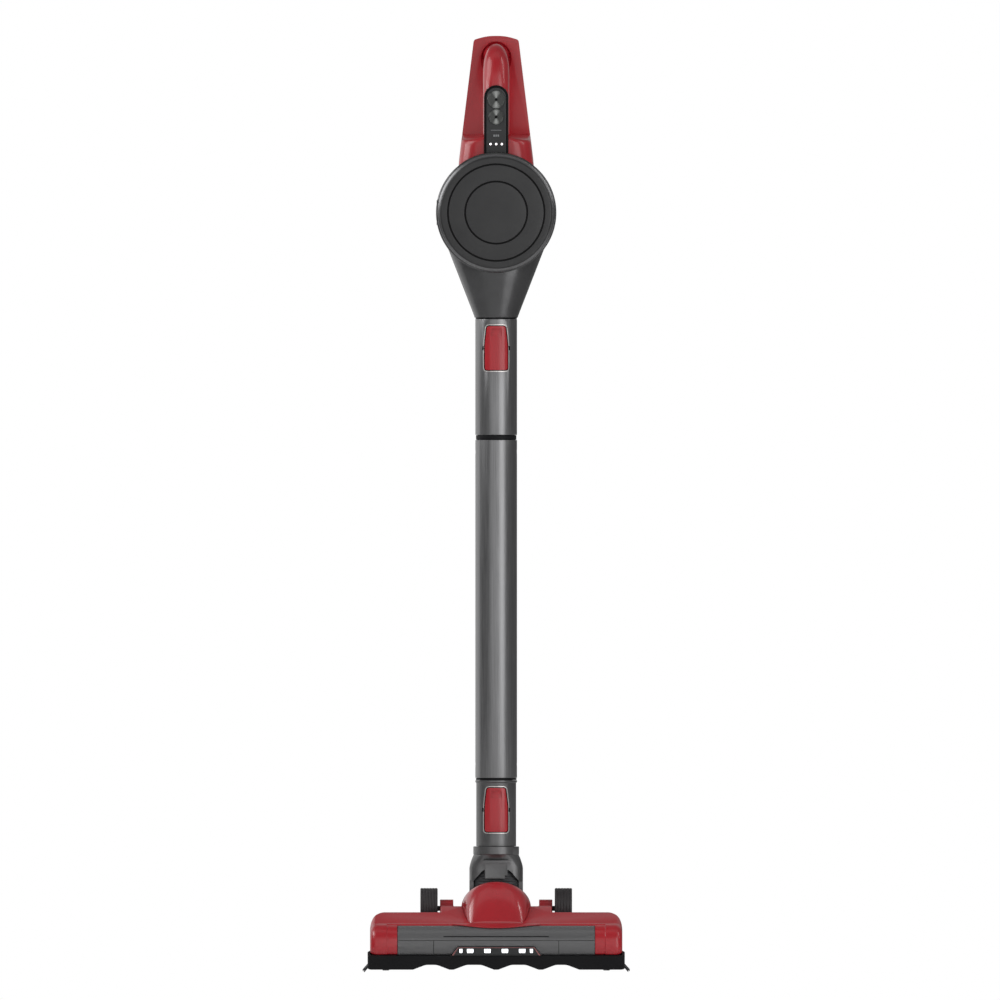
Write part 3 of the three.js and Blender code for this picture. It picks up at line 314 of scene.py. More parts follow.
def settle(piece):
    """Makes a piece's modifiers part of its mesh."""
    graph = bpy.context.evaluated_depsgraph_get()
    mesh = bpy.data.meshes.new_from_object(piece.evaluated_get(graph))
    piece.modifiers.clear()
    piece.data = mesh
    return piece


def combine(piece, others, how):
    """Joins other pieces to this one, cuts them out of it, or keeps what it shares with them."""
    for other in others:
        boolean = piece.modifiers.new("boolean", "BOOLEAN")
        boolean.operation = how
        boolean.solver = "MANIFOLD"
        boolean.object = other
        settle(piece)
        bpy.data.objects.remove(other)
    return piece


def cut(piece, *others):
    return combine(piece, others, "DIFFERENCE")


def join(piece, *others):
    return combine(piece, others, "UNION")


def shared(piece, *others):
    return combine(piece, others, "INTERSECT")


def gather(piece, *others):
    """Puts loose pieces, such as bristles, in one object without joining their surfaces."""
    work = bmesh.new()
    for part in (piece, *others):
        work.from_mesh(part.data)
    work.to_mesh(piece.data)
    work.free()
    for other in others:
        bpy.data.objects.remove(other)
    return piece


def soften(piece, width, segments=3, angle=28):
    """Rounds a piece's sharp edges."""
    bevel = piece.modifiers.new("bevel", "BEVEL")
    bevel.width = width
    bevel.segments = segments
    bevel.limit_method = "ANGLE"
    bevel.angle_limit = math.radians(angle)
    bevel.use_clamp_overlap = True
    return settle(piece)


def dress(piece, look, place=MACHINE):
    """Scales a piece to metres, smooths its faces and gives it its material."""
    piece.data.transform(Matrix.Scale(MM, 4) @ place)
    for polygon in piece.data.polygons:
        polygon.use_smooth = True
    piece.data.materials.clear()
    piece.data.materials.append(MATERIALS[look])


def finish(piece, body, slot, *nodes, place=MACHINE, sharp=32, look=None):
    """Dresses a piece and puts it on its body, in place of the CAD nodes named."""
    dress(piece, look or slot, place)
    piece.data.set_sharp_from_angle(angle=math.radians(sharp))
    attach(piece, body)
    if nodes:
        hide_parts(*nodes)


def finish_head(piece, slot, *nodes, **settings):
    """Finishes a piece of the floor head that was made in the head's own frame."""
    finish(piece, "head", slot, *nodes, place=HEAD, **settings)


# ---- materials ----

MATERIALS = {}


def new_material(name, color, roughness, **sockets):
    """A material with its shader's plain values set, kept under its name, to add detail to."""
    material = bpy.data.materials.new(name)
    material.use_nodes = True
    shader = material.node_tree.nodes["Principled BSDF"]
    shader.inputs["Base Color"].default_value = (*color, 1)
    shader.inputs["Roughness"].default_value = roughness
    for socket, value in sockets.items():
        shader.inputs[socket.replace("_", " ")].default_value = value
    MATERIALS[name] = material
    return material


def add_node(material, kind, **settings):
    node = material.node_tree.nodes.new(kind)
    for name, value in settings.items():
        if name in node.bl_rna.properties:
            setattr(node, name, value)
        else:
            node.inputs[name.replace("_", " ")].default_value = value
    return node


def link(material, source, target):
    material.node_tree.links.new(source, target)


def feed(material, source, socket):
    """Runs a node's output into one of the shader's sockets."""
    link(material, source, material.node_tree.nodes["Principled BSDF"].inputs[socket])


def coordinates(material, stretch=(1, 1, 1)):
    """The piece's own coordinates, stretched along an axis for grain."""
    place = add_node(material, "ShaderNodeTexCoord")
    mapping = add_node(material, "ShaderNodeMapping")
    mapping.inputs["Scale"].default_value = stretch
    link(material, place.outputs["Object"], mapping.inputs["Vector"])
    return mapping.outputs["Vector"]


def noise(material, vector, scale, detail=4.0):
    texture = add_node(material, "ShaderNodeTexNoise", Scale=scale, Detail=detail)
    link(material, vector, texture.inputs["Vector"])
    return texture.outputs["Fac"]


def vary_color(material, factor, low, high, spread=(0.3, 0.7)):
    """The base colour runs between two colours as the factor rises."""
    ramp = add_node(material, "ShaderNodeValToRGB")
    for element, place, color in zip(ramp.color_ramp.elements, spread, (low, high)):
        element.position = place
        element.color = (*color, 1)
    link(material, factor, ramp.inputs["Fac"])
    feed(material, ramp.outputs["Color"], "Base Color")


def vary_roughness(material, factor, low, high):
    span = add_node(material, "ShaderNodeMapRange", To_Min=low, To_Max=high)
    link(material, factor, span.inputs["Value"])
    feed(material, span.outputs["Result"], "Roughness")


def bump(material, factor, strength, depth):
    """Small relief of the given depth in millimetres."""
    node = add_node(material, "ShaderNodeBump", Strength=strength, Distance=depth * MM)
    link(material, factor, node.inputs["Height"])
    feed(material, node.outputs["Normal"], "Normal")


def shade(color, factor):
    """A lighter or darker version of a colour."""
    return tuple(min(1, channel * factor) for channel in color)


def moulded(name, color, roughness, grain=1400, depth=0.02, strength=0.25, variation=0.12, **sockets):
    """Moulded plastic or rubber: fine grain, slow changes of tone, and uneven gloss."""
    material = new_material(name, color, roughness, **sockets)
    vector = coordinates(material)
    tones = shade(color, 1 - variation), shade(color, 1 + variation)
    vary_color(material, noise(material, vector, 24), *tones)
    vary_roughness(material, noise(material, vector, 160, 6), roughness * 0.8, roughness * 1.25)
    bump(material, noise(material, vector, grain, 3), strength, depth)
    return material


def turned(name, color, roughness):
    """Satin paint over fine rings left by turning, one above the other."""
    material = moulded(name, color, roughness, Metallic=0.85)
    rings = add_node(material, "ShaderNodeTexWave", bands_direction="Z", Scale=260.0, Distortion=0.3)
    link(material, coordinates(material), rings.inputs["Vector"])
    bump(material, rings.outputs["Fac"], 0.25, 0.05)


def metal(name, color, roughness, stretch):
    """Metal with a grain drawn out along one direction."""
    material = new_material(name, color, roughness, Metallic=1.0)
    vector = coordinates(material, stretch)
    grain = noise(material, vector, 900, 5)
    vary_color(material, grain, shade(color, 0.86), shade(color, 1.12))
    vary_roughness(material, grain, roughness * 0.8, roughness * 1.3)
    bump(material, grain, 0.3, 0.004)


def spun_metal(name, color, roughness):
    """A turned disc: fine circular grooves in its relief and roughness, and a base colour that paints light and
    shade: two wedges of painted highlight, where the grooves would draw the light, with painted shade round the
    rest of the disc.
    """
    material = new_material(name, color, roughness, Metallic=1.0)
    # Painted highlight for the two wedges and painted shade for the rest of the disc, both set in the base colour.
    painted_highlight, painted_shade = shade(color, 3.0), shade(color, 0.6)
    place = add_node(material, "ShaderNodeTexCoord")
    facing = add_node(material, "ShaderNodeMapping", Location=(-0.5, 0.5, -0.5), Rotation=(math.pi / 2, 0, 0))
    link(material, place.outputs["Generated"], facing.inputs["Vector"])
    around = add_node(material, "ShaderNodeTexGradient", gradient_type="RADIAL")
    link(material, facing.outputs["Vector"], around.inputs["Vector"])
    painted_wedges = add_node(material, "ShaderNodeValToRGB")
    stops = painted_wedges.color_ramp.elements
    stops[1].position = 0.85
    for turn in (0.15, 0.25, 0.35, 0.65, 0.75):
        stops.new(turn)
    for stop in stops:
        stop.color = (*(painted_highlight if stop.position in (0.25, 0.75) else painted_shade), 1)
    link(material, around.outputs["Fac"], painted_wedges.inputs["Fac"])
    feed(material, painted_wedges.outputs["Color"], "Base Color")
    rings = add_node(material, "ShaderNodeTexWave", wave_type="RINGS", rings_direction="Z", Scale=9.0,
                     Distortion=0.4)
    link(material, facing.outputs["Vector"], rings.inputs["Vector"])
    vary_roughness(material, rings.outputs["Fac"], roughness * 0.8, roughness * 1.25)
    bump(material, rings.outputs["Fac"], 0.2, 0.02)


def clear_plastic(name, color, roughness, clarity=0.92):
    """Smoky clear moulding with faint flow marks."""
    material = new_material(name, color, roughness, Transmission_Weight=clarity, IOR=1.49)
    vector = coordinates(material, (1, 4, 4))
    vary_roughness(material, noise(material, vector, 30), roughness * 0.6, roughness * 1.8)
    bump(material, noise(material, vector, 18), 0.1, 0.05)


def glowing(name, color, strength):
    material = new_material(name, color, 0.35, Emission_Strength=strength, Emission_Color=(*color, 1))
    vary_roughness(material, noise(material, coordinates(material), 400), 0.25, 0.45)


def perforated(name, color, roughness):
    """Sheet metal with rows of small holes."""
    material = new_material(name, color, roughness, Metallic=0.8)
    holes = add_node(material, "ShaderNodeTexVoronoi", Scale=420, Randomness=0.15)
    link(material, coordinates(material), holes.inputs["Vector"])
    vary_color(material, holes.outputs["Distance"], shade(color, 0.05), color, (0.34, 0.42))
    bump(material, holes.outputs["Distance"], 0.6, 0.3)


def bristly(name, color, roughness):
    """Nylon bristles, streaked from root to tip."""
    material = new_material(name, color, roughness)
    vector = coordinates(material, (8, 1, 1))
    streaks = noise(material, vector, 420, 6)
    vary_color(material, streaks, shade(color, 0.5), shade(color, 1.7))
    bump(material, streaks, 0.6, 0.1)


def circuit(name, color):
    """Solder mask with darker and lighter tracks."""
    material = new_material(name, color, 0.35)
    tracks = add_node(material, "ShaderNodeTexBrick", Scale=260.0, Mortar_Size=0.03)
    link(material, coordinates(material), tracks.inputs["Vector"])
    vary_color(material, tracks.outputs["Fac"], color, shade(color, 2.6), (0.4, 0.6))
    bump(material, tracks.outputs["Fac"], 0.3, 0.05)


RED = (0.45, 0.009, 0.018)


def make_materials():
    """Every slot's material, and the ones that single pieces need of their own."""
    moulded("red_gloss", RED, 0.34, 1800, 0.004, 0.12, 0.05, Coat_Weight=0.5, Coat_Roughness=0.16)
    moulded("dome_gloss", RED, 0.3, 1800, 0.004, 0.12, 0.05, Coat_Weight=1.0, Coat_Roughness=0.13)
    moulded("dark_satin", (0.043, 0.043, 0.044), 0.36, 2600, 0.01, 0.3, Metallic=0.4)
    moulded("cone_satin", (0.105, 0.105, 0.107), 0.24, 2600, 0.01, 0.3, Metallic=0.8)
    turned("neck_satin", (0.17, 0.17, 0.172), 0.36)
    moulded("black_matte", (0.007, 0.007, 0.008), 0.5, 2000, 0.03, 0.5, Specular_IOR_Level=0.18)
    moulded("black_gloss", (0.003, 0.003, 0.0035), 0.25, 2000, 0.01, 0.2, Specular_IOR_Level=0.12)
    moulded("black_panel", (0.036, 0.037, 0.038), 0.32, 3000, 0.005, 0.2, Specular_IOR_Level=0.35)
    moulded("rubber_black", (0.022, 0.022, 0.023), 0.6, 1500, 0.03, 0.4)
    moulded("wheel_rubber", (0.034, 0.030, 0.032), 0.55, 1200, 0.04, 0.5)
    moulded("impeller_grey", (0.28, 0.28, 0.29), 0.4)
    moulded("motor_grey", (0.12, 0.125, 0.13), 0.45)
    moulded("cell_wrap", (0.05, 0.12, 0.30), 0.3)
    moulded("filter_white", (0.72, 0.72, 0.69), 0.9, 900, 0.1, 0.7)
    moulded("boot_grey", (0.075, 0.078, 0.082), 0.5, 1500, 0.03, 0.4)
    moulded("edge_line", (0.32, 0.12, 0.12), 0.4)
    moulded("print_grey", (0.30, 0.31, 0.32), 0.5)
    spun_metal("brushed_metal", (0.13, 0.134, 0.13), 0.3)
    metal("tube_metal", (0.26, 0.26, 0.265), 0.32, (1, 1, 0.02))
    metal("trim_metal", (0.20, 0.20, 0.204), 0.3, (1, 0.05, 1))
    metal("rim_metal", (0.80, 0.77, 0.75), 0.4, (1, 1, 0.05))
    metal("steel", (0.55, 0.55, 0.56), 0.25, (0.05, 1, 1))
    metal("contact_gold", (0.75, 0.55, 0.25), 0.25, (1, 1, 0.1))
    perforated("screen_steel", (0.40, 0.40, 0.41), 0.35)
    clear_plastic("smoky_clear", (0.30, 0.31, 0.32), 0.06)
    clear_plastic("smoky_window", (0.27, 0.27, 0.275), 0.14, 0.55)
    glowing("white_light", (0.95, 0.97, 1.0), 1.6)
    bristly("bristle_dark", (0.05, 0.05, 0.055), 0.6)
    circuit("board_green", (0.02, 0.12, 0.06))


def dress_cad_nodes():
    """The CAD nodes that stay get the same materials as the made pieces."""
    for entry in frame["record"]["subparts"]:
        node = frame["nodes"][entry["node"]]
        for slot in node.material_slots:
            slot.material = MATERIALS[entry["material_slot"]]


# ---- handheld unit: dust cup ----

LID_FRONT = corners("cup_lid")[0].y
LID_BACK = LID_FRONT + 8
GROOVES = (36.6, 56.9)          # radii of the two rings pressed into the lid
GROOVE_HALF = 1.05
RING_FRONT = LID_FRONT + 10.3
RING_BACK = RING_FRONT + 25.7
CONE_LOW_Z = -122


def lid_profile():
    """Half section of the lid, front face first, as (radius, y)."""
    profile = [(0, LID_FRONT + 0.1)]
    for radius, fall in zip(GROOVES, (0.1, 0.5)):
        front = LID_FRONT + fall
        profile += [(radius - GROOVE_HALF, front, 0.2), (radius - GROOVE_HALF, front + 1.8, 0.2)]
        profile += [(radius + GROOVE_HALF, front + 1.8, 0.2), (radius + GROOVE_HALF, front + 0.1, 0.2)]
    profile += [(64.6, LID_FRONT + 0.9, 0.8), (68.6, LID_FRONT + 3.8, 1.0), (LID_RADIUS, LID_BACK - 0.8, 0.5)]
    return profile + [(LID_RADIUS - 0.8, LID_BACK, 0.4), (0, LID_BACK)]


def build_lid():
    lid = lathe("lid_disc", lid_profile(), steps=ROUND_BIG)
    x, y = LID_HINGE.x, LID_HINGE.y
    knuckle = rod("knuckle", "z", -9.8, 9.8, (x, y, 0), 2.8)
    arm = block("arm", x - 1.2, x + 3.4, LID_BACK - 2, y, -9.8, 9.8)
    finish(join(lid, arm, knuckle), "lid", "dark_satin", "cup_lid")
    trim = [(66.2, LID_FRONT + 1.95), (68.7, LID_FRONT + 3.75), (69, LID_FRONT + 4.5), (69, LID_FRONT + 5.4),
            (66.2, LID_FRONT + 3.4)]
    finish(lathe("lid_trim", trim, steps=ROUND_BIG, radius=0.2), "lid", "dark_satin", look="trim_metal")
    # Black bands at the bottom of the lid's two grooves: painted shade that darkens the recesses where shade
    # falls.
    front, half = LID_FRONT + 0.9, GROOVE_HALF - 0.02
    bands = [tube("groove_shade_bands", "y", front, front + 0.9, (0, 0, 0), radius + half, radius - half, 0)
             for radius in GROOVES]
    finish(gather(*bands), "lid", "rubber_black", look="black_gloss")
    seal = tube("lid_gasket", "y", LID_BACK + 0.3, RING_FRONT - 0.3, (0, 0, 0), 60.9, 57.5, 0.6)
    finish(seal, "lid", "rubber_black", "lid_seal")


def ring_room(front, back):
    """The room that the cup's ring needs, for cutting."""
    return rod("ring_room", "y", front, back, (0, 0, 0), RING_RADIUS + 0.5, 0, ROUND_BIG)


def cone_ring(z, half_x, half_y):
    return oval((0, WAND_Y, z), (half_x, 0, 0), (0, half_y, 0), 2.2, ROUND)


def cone_half(z):
    """Half the cone's width, which grows evenly with height."""
    return 28.7 + 0.388 * (z + 114.5)


def build_inlet():
    """The cup's front ring, and the cone below it that takes the wand."""
    front, back = RING_FRONT, RING_BACK
    profile = [(RING_BORE, front, 0.5), (69.6, front, 0.6), (RING_RADIUS, front + 1.6, 0.8),
               (RING_RADIUS, back, 0.5), (RING_BORE, back, 0.4)]
    ring = lathe("inlet_ring", profile, steps=ROUND_BIG)
    rows = [(z, cone_half(z), half_y) for z, half_y in ((-20, 37), (-60, 37), (-92, 32), (-119, 26.6))]
    rows = smooth_between([*rows, (-123.5, 25.6, 25.4)], 8)
    cone = loft("cone", [cone_ring(*row) for row in rows])
    spigot = rod("spigot", "z", -148, CONE_LOW_Z, WAND_AXIS, SPIGOT_RADIUS)
    lugs = [block("lug", -70.2, -62, LID_HINGE.y - 1.6, -178, z - 2, z + 2) for z in (-12.6, 12.6)]
    bore = rod("bore", "y", front - 1, back + 1, (0, 0, 0), RING_BORE, 0, ROUND_BIG)
    seat = rod("seat", "y", back - 0.01, -100, (0, 0, 0), CUP_OUTER + 0.3, 0, ROUND_BIG)
    airway = ((-50, 26, 24), (-118, 19, 19), (-150, WAND_BORE, WAND_BORE))
    airway = loft("airway", [cone_ring(*row) for row in airway])
    notch = block("notch", -75, -62.5, -187, -179, -15, 15)
    latch_slot = block("latch_slot", 59.2, 72, -187, -170, -7.3, 7.3)
    housing = cut(join(cone, ring, spigot), bore, seat, airway, notch, latch_slot)
    housing = soften(join(housing, *lugs), 0.5, 2, 40)
    finish(housing, "handheld", "dark_satin", "inlet_housing", look="cone_satin")
    lip = tube("cone_lip", "z", COUPLING_HIGH.z + 0.12, CONE_LOW_Z, WAND_AXIS, 24.4, 19.1, 0.2)
    finish(lip, "handheld", "rubber_black", look="black_matte")


def build_cup():
    low, high = CUP_LOW.y, CUP_HIGH.y
    wall = tube("cup_wall", "y", low, high, (0, 0, 0), CUP_OUTER, CUP_INNER, 0.5, ROUND_BIG)
    inlet = block("inlet", -20, 20, WAND_Y - 14, WAND_Y + 14, -75, -40)
    finish(cut(wall, inlet), "handheld", "smoky_clear", "dust_cup")
    profile = [(32.4, -155), (0, -155), (0, -157), (34, -157, 1.5), (34, -124, 0.6), (38, -124, 0.6),
               (38, -122, 0.4), (32.4, -122)]
    finish(lathe("screen_shell", profile), "handheld", "screen_steel", "cyclone_screen")
    latch = block("lid_catch_block", 61.5, 69.8, -185.2, -171, -7, 7)
    ribs = [block("rib", 69, 71, -186, -170, z - 0.5, z + 0.5) for z in (-4, -2, 0, 2, 4)]
    finish(soften(cut(latch, *ribs), 0.35, 2), "lid_catch", "dark_satin", "lid_latch")


def pleated(name, outer, inner, low, high, folds):
    """A ring of folded filter paper round the cup's axis."""
    rings = []
    for i in range(folds * 4):
        angle = math.pi * i / (folds * 2)
        depth = 1.2 * (1 if i % 4 in (1, 2) else 0)
        section = [(inner, low + depth), (outer, low + depth), (outer, high - depth), (inner, high - depth)]
        rings.append([turned_point("y", r, angle, y, (0, 0, 0)) for r, y in section])
    return loft(name, rings, closed=True)


def build_filters():
    for name, sizes, node in (("filter_pleats", (64, 20, -121.6, -108, 48), "pre_motor_filter"),
                              ("exhaust_pleats", (48, 14, -32, -19.6, 40), "exhaust_filter")):
        finish(pleated(name, *sizes), "handheld", "filter_white", node, sharp=20)


# ---- handheld unit: red housings ----

MOTOR_FRONT = -104
MOTOR_TAPER = ((68, -66), (60, -34), (52, -16))     # radius and y where the motor housing narrows


def body_half(z):
    """Half the width of the tapering handle body at a height."""
    share = (z - BODY_LOW_Z) / (BODY_TOP_Z - BODY_LOW_Z)
    return BODY_LOW_HALF + (BODY_TOP_HALF - BODY_LOW_HALF) * share


def build_motor_housing():
    taper = [(radius, y, edge) for (radius, y), edge in zip(MOTOR_TAPER, (10, 8, 2))]
    profile = [(0, MOTOR_FRONT), (68, MOTOR_FRONT, 1), *taper, (49.6, -16, 0.5), (49.6, -19), (0, -19)]
    shell = lathe("motor_shell", profile, steps=128)
    grooves = ring_of_slots(28, 110, 8, -1.4, 1.4, -58, -40, 60, 72)
    inner = lathe("inner", [(0, -62), (62.2, -62), (54.6, -36), (0, -36)], steps=64)
    shell = cut(shell, cut(grooves, inner))
    finish(soften(shell, 0.4, 2, 35), "handheld", "red_gloss", "motor_housing")


def shoulder_ring(y):
    """One upright section across the shoulder, narrowing round its front corners."""
    corner = 24
    into = min(y - GRIP_FRONT, corner)
    inset = corner - math.sqrt(corner ** 2 - (corner - into) ** 2)
    back = min(max((y - GRIP_FRONT) / 70, 0), 1)
    edge_z = 84 + 8.2 * back
    crisp = 5 - 4.4 * back
    low, high = body_half(BODY_LOW_Z) - inset, body_half(edge_z) - inset
    top = 91 + 1.4 * back
    side = [(-low, 22), (-low, BODY_LOW_Z, 8), (-high, edge_z, crisp), (-high * 0.42, top, 9)]
    return [Vector((x, y, z)) for x, z in rounded(mirrored(side), 0.3, 6)]


def build_shoulder():
    """The two pods beside the grip, cut back to the cup's ring and the motor housing."""
    steps = [0, 0.15, 0.6, 1.4, 2.6, 4.5, 7, 10, 14, 18, 24, 34, 46, 58, 70, 82, 100, 128, 129.6]
    pod = loft("shoulder_pods", [shoulder_ring(GRIP_FRONT + step) for step in steps])
    front, gap = MOTOR_FRONT - 0.5, 0.4
    taper = [(radius + gap, y) for radius, y in MOTOR_TAPER]
    motor_seat = lathe("motor_seat", [(0, front), (68 + gap, front), *taper, (0, -16)], steps=ROUND_BIG)
    pod = cut(pod, ring_room(AHEAD_Y, MOTOR_FRONT - 0.3), motor_seat)
    finish(soften(pod, 0.8, 3, 40), "handheld", "red_gloss", "shoulder_housing")


def build_handle():
    """The grip, its nose over the top, and the arm back to the battery bay."""
    middle = GRIP_FRONT + 18
    stations = [
        (middle, 92.4, 0, GRIP_HALF, 18, 2.7),
        (middle, 120, 0, GRIP_HALF, 18, 2.7),
        (middle, 147, 0, GRIP_HALF, 18, 2.4),
        (middle + 1, 163, 8, GRIP_HALF, 17, 2),
        (middle + 5, 177, 32, 14.6, 15, 2),
        (middle + 14, 186, 58, 12.4, 12.5, 2),
        (middle + 28, 189, 82, 10.6, 11, 2),
        (middle + 44, 188, 92, 11, 11, 2),
        (BAY_LOW.y - 0.2, 187, 90, 15, 12, 2.2),
    ]
    rings = []
    for y, z, lean, across, thick, power in smooth_between(stations, 7):
        turn = math.radians(lean)
        along = Vector((0, math.cos(turn), -math.sin(turn))) * thick
        rings.append(oval((0, y, z), (across, 0, 0), along, power, 72))
    grip = loft("grip_loop", rings)
    seat = capsule("seat", GRIP_HALF - 0.9, 151.6, AHEAD_Y, PANEL_HIGH.y - 0.2)
    wells, linings = [], []
    for node, (z, radius) in (("power_button", POWER_BUTTON), ("mode_button", MODE_BUTTON)):
        back = corners(node)[1].y
        wells.append(rod("well", "y", AHEAD_Y, back + 2.1, (0, 0, z), radius + 0.4, 0))
        linings.append(rod("key_wells", "y", back + 1.85, back + 2.4, (0, 0, z), radius + 0.38, 0))
    finish(soften(cut(grip, seat, *wells), 0.5, 3, 40), "handheld", "red_gloss", "handle_loop")
    finish(gather(*linings), "handheld", "rubber_black", look="black_gloss")


def bay_outline(inset, low_z):
    """The tapering body's outline from the front, with a slightly domed top."""
    low_z, top = low_z + inset, BODY_TOP_Z - inset
    low, high = body_half(low_z) - inset, body_half(top) - inset
    side = [(-low, low_z, 1), (-high, top - 4, 3), (-high * 0.4, top + 0.585, 9)]
    return rounded(mirrored(side), 0, 8)


def build_battery_bay():
    """The flat tapering body behind the grip, with a hollow where the handle's nose runs into it."""
    front, back, low = BAY_LOW.y, BAY_HIGH.y, BAY_LOW.z
    bay = prism("bay_shell", bay_outline(0, low), "y", front, back)
    inside = prism("inside", bay_outline(2.5, low), "y", front + 7, back + 1)
    hollow = lathe("hollow", [(13.5 + u, front + v) for u, v in arc(0, -1.6, 5, 0, 360, 24)[:-1]])
    hollow.data.transform(Matrix.Translation((0, 0, 182)) @ Matrix.Diagonal((1, 1, 1.15, 1)))
    finish(soften(cut(bay, inside, hollow), 0.7, 3, 40), "handheld", "red_gloss", "battery_bay")


def build_battery():
    seam, back, low = BAY_HIGH.y + 0.3, PACK_HIGH.y, BAY_LOW.z
    shell = soften(prism("pack_shell", bay_outline(0, low), "y", seam, back), 1.6, 4, 40)
    plug = prism("plug", bay_outline(2.9, low), "y", PACK_LOW.y, seam + 3)
    well = block("well", -13, 13, back - 4.5, back + 1, 105, 119)
    ribs = [block("rib", -14, 14, back - 0.7, back + 1, z - 0.8, z + 0.8) for z in range(150, 186, 6)]
    finish(soften(cut(join(shell, plug), well, *ribs), 0.4, 2, 40), "battery", "red_gloss", "battery_case")
    low, high = corners("battery_latch")
    latch = block("pack_latch", -12.6, 12.6, low.y, high.y, 105.4, 118.6)
    grips = [block("grip", -10, 10, high.y - 0.5, high.y + 1, z - 0.5, z + 0.5) for z in (109, 112, 115)]
    finish(soften(cut(latch, *grips), 0.35, 2), "battery_catch", "dark_satin", "battery_latch")


# ---- handheld unit: control panel ----

POWER_BUTTON = (133.5, 10.6)    # height and radius
MODE_BUTTON = (113.0, 9.1)
LIGHT_Z = 81
LIGHT_XS = (-6.7, 0, 6.7)


def capsule(name, half, high, front, back):
    """A strip with a round top, standing on the handle's front."""
    low = 60
    outline = [(-half, low), *reversed(arc(0, high - half, half, 0, 180, 24)), (half, low)]
    return prism(name, outline, "y", front, back)


def build_panel():
    """A black bed with a grey face on it, its two button holes, three lamps and plain printed bars."""
    front, back = PANEL_LOW.y, PANEL_HIGH.y

    def openings():
        holes = [rod("hole", "y", front - 5, back + 5, (0, 0, z), radius + 0.12, 0) for z, radius in
                 (POWER_BUTTON, MODE_BUTTON)]
        lamps = [rod("lamp", "y", front - 5, back + 5, (x, 0, LIGHT_Z), 1.5, 0) for x in LIGHT_XS]
        return [*holes, *lamps, ring_room(front - 5, back + 5)]

    bed = soften(capsule("panel_bed", GRIP_HALF - 1.1, PANEL_HIGH.z, front + 0.5, back), 0.8, 3, 40)
    finish(cut(bed, *openings()), "handheld", "black_matte", "control_panel", look="black_gloss")
    face = soften(capsule("panel_face", 11.5, PANEL_HIGH.z - 2.9, front, back - 0.6), 0.3, 2, 40)
    finish(cut(face, *openings()), "handheld", "black_panel")
    dots = [lathe("status_lamps", [(0, front - 0.1), (1.3, front + 0.1, 0.2), (1.3, back), (0, back)],
                  at=(x, 0, LIGHT_Z), steps=24) for x in LIGHT_XS]
    finish(gather(*dots), "handheld", "white_light", "status_lights")
    bars = [block("panel_print", -6.2, 6.2, front - 0.04, front + 0.2, 97.1, 97.6)]
    bars += [block("bar", x - 0.8, x + 0.8, front - 0.04, front + 0.2, 89.8, 92.2) for x in (-2.4, 0, 2.4)]
    finish(gather(*bars), "handheld", "white_light", look="print_grey")


def build_button(name, body, node, place):
    """A shallow dished disc with a raised rim and a small round mark."""
    z, radius = place
    front, back = corners(node)[0].y, corners(node)[1].y
    dip = [(0, 0.55), (1.6, 0.55, 0.1), (1.8, 0.75, 0.1), (2.2, 0.75, 0.1), (2.4, 0.6, 0.1)]
    rim = [(radius * 0.6, 0.45, 2), (radius - 1.6, 0.35, 0.4), (radius - 1.2, 0, 0.2), (radius - 0.5, 0, 0.2),
           (radius, 0.5, 0.2)]
    profile = [(reach, front + depth, *edge) for reach, depth, *edge in dip + rim]
    button = lathe(name, [*profile, (radius, back), (0, back)], at=(0, 0, z))
    finish(button, body, "brushed_metal", node)
    mark = rod(f"{name}_mark", "y", front + 0.4, front + 1, (0, 0, z), 1.7, 0.1)
    finish(mark, body, "brushed_metal", look="black_gloss")


# ---- handheld unit: exhaust and dock ----

def build_exhaust():
    """Radial louvres round the dock plate."""
    profile = [(0, -15.7), (49.4, -15.7, 0.4), (49.4, -13, 0.8), (47.5, -12, 0.4), (0, -12)]
    disc = lathe("louvre_disc", profile)
    slots = ring_of_slots(36, 0, 10, -1.3, 1.3, -20, -10, 34, 45.5)
    finish(soften(cut(disc, slots), 0.3, 2, 40), "handheld", "dark_satin", "exhaust_grille")


def build_dock():
    low, high = corners("dock_plate")
    plate = prism("dock_pad", rounded(mirrored([(-22, -30), (-22, 30)]), 6, 8), "y", low.y, high.y)
    slots = [block("slot", x - 4.4, x + 4.4, -8, 1, -21.4, -8.6) for x in (-9, 9)]
    hooks = [block("hook", x - 2.5, x + 2.5, -6, 1, 8, 20) for x in (-9, 9)]
    finish(soften(cut(plate, *slots, *hooks), 0.6, 3, 40), "handheld", "dark_satin", "dock_plate")
    pads = [soften(block("dock_pins", x - 4, x + 4, -7.7, -1, -21, -9), 0.6) for x in (-9, 9)]
    finish(gather(*pads), "handheld", "contact_gold", "dock_contacts")


# ---- wand ----

SLEEVE_BORE = 19.6
BUTTON_LENGTH = 51.8
BUTTON_OUT = 26.4               # how far a release button stands from the wand's centre line
BUTTON_IN = 23.2
POCKET_GAP = 1.0
POCKET_IN = 20.9                # how near to that line a button's pocket goes
NECK_RADIUS = 23.5
PIPE_BORE = 23.2


def wand_lathe(name, profile):
    return lathe(name, profile, "z", WAND_AXIS)


def release_outline(top, grow):
    """A release button's outline from the front, narrower at its top, grown by a margin."""
    low = top - BUTTON_LENGTH - grow
    narrow, wide = 10.85 + grow, 13.45 + grow
    return rounded(mirrored([(-wide, low), (-wide, top - 22), (-narrow, top + grow)]), 3 + grow, 6)


def front_patch(name, outline, inner, outer, top):
    """The part of a pipe round the wand's line that an outline covers, on its front."""
    band = tube(name, "z", top - 60, top + 10, WAND_AXIS, outer, inner, 0)
    return shared(band, prism("patch", outline, "y", WAND_Y - 40, WAND_Y - 5))


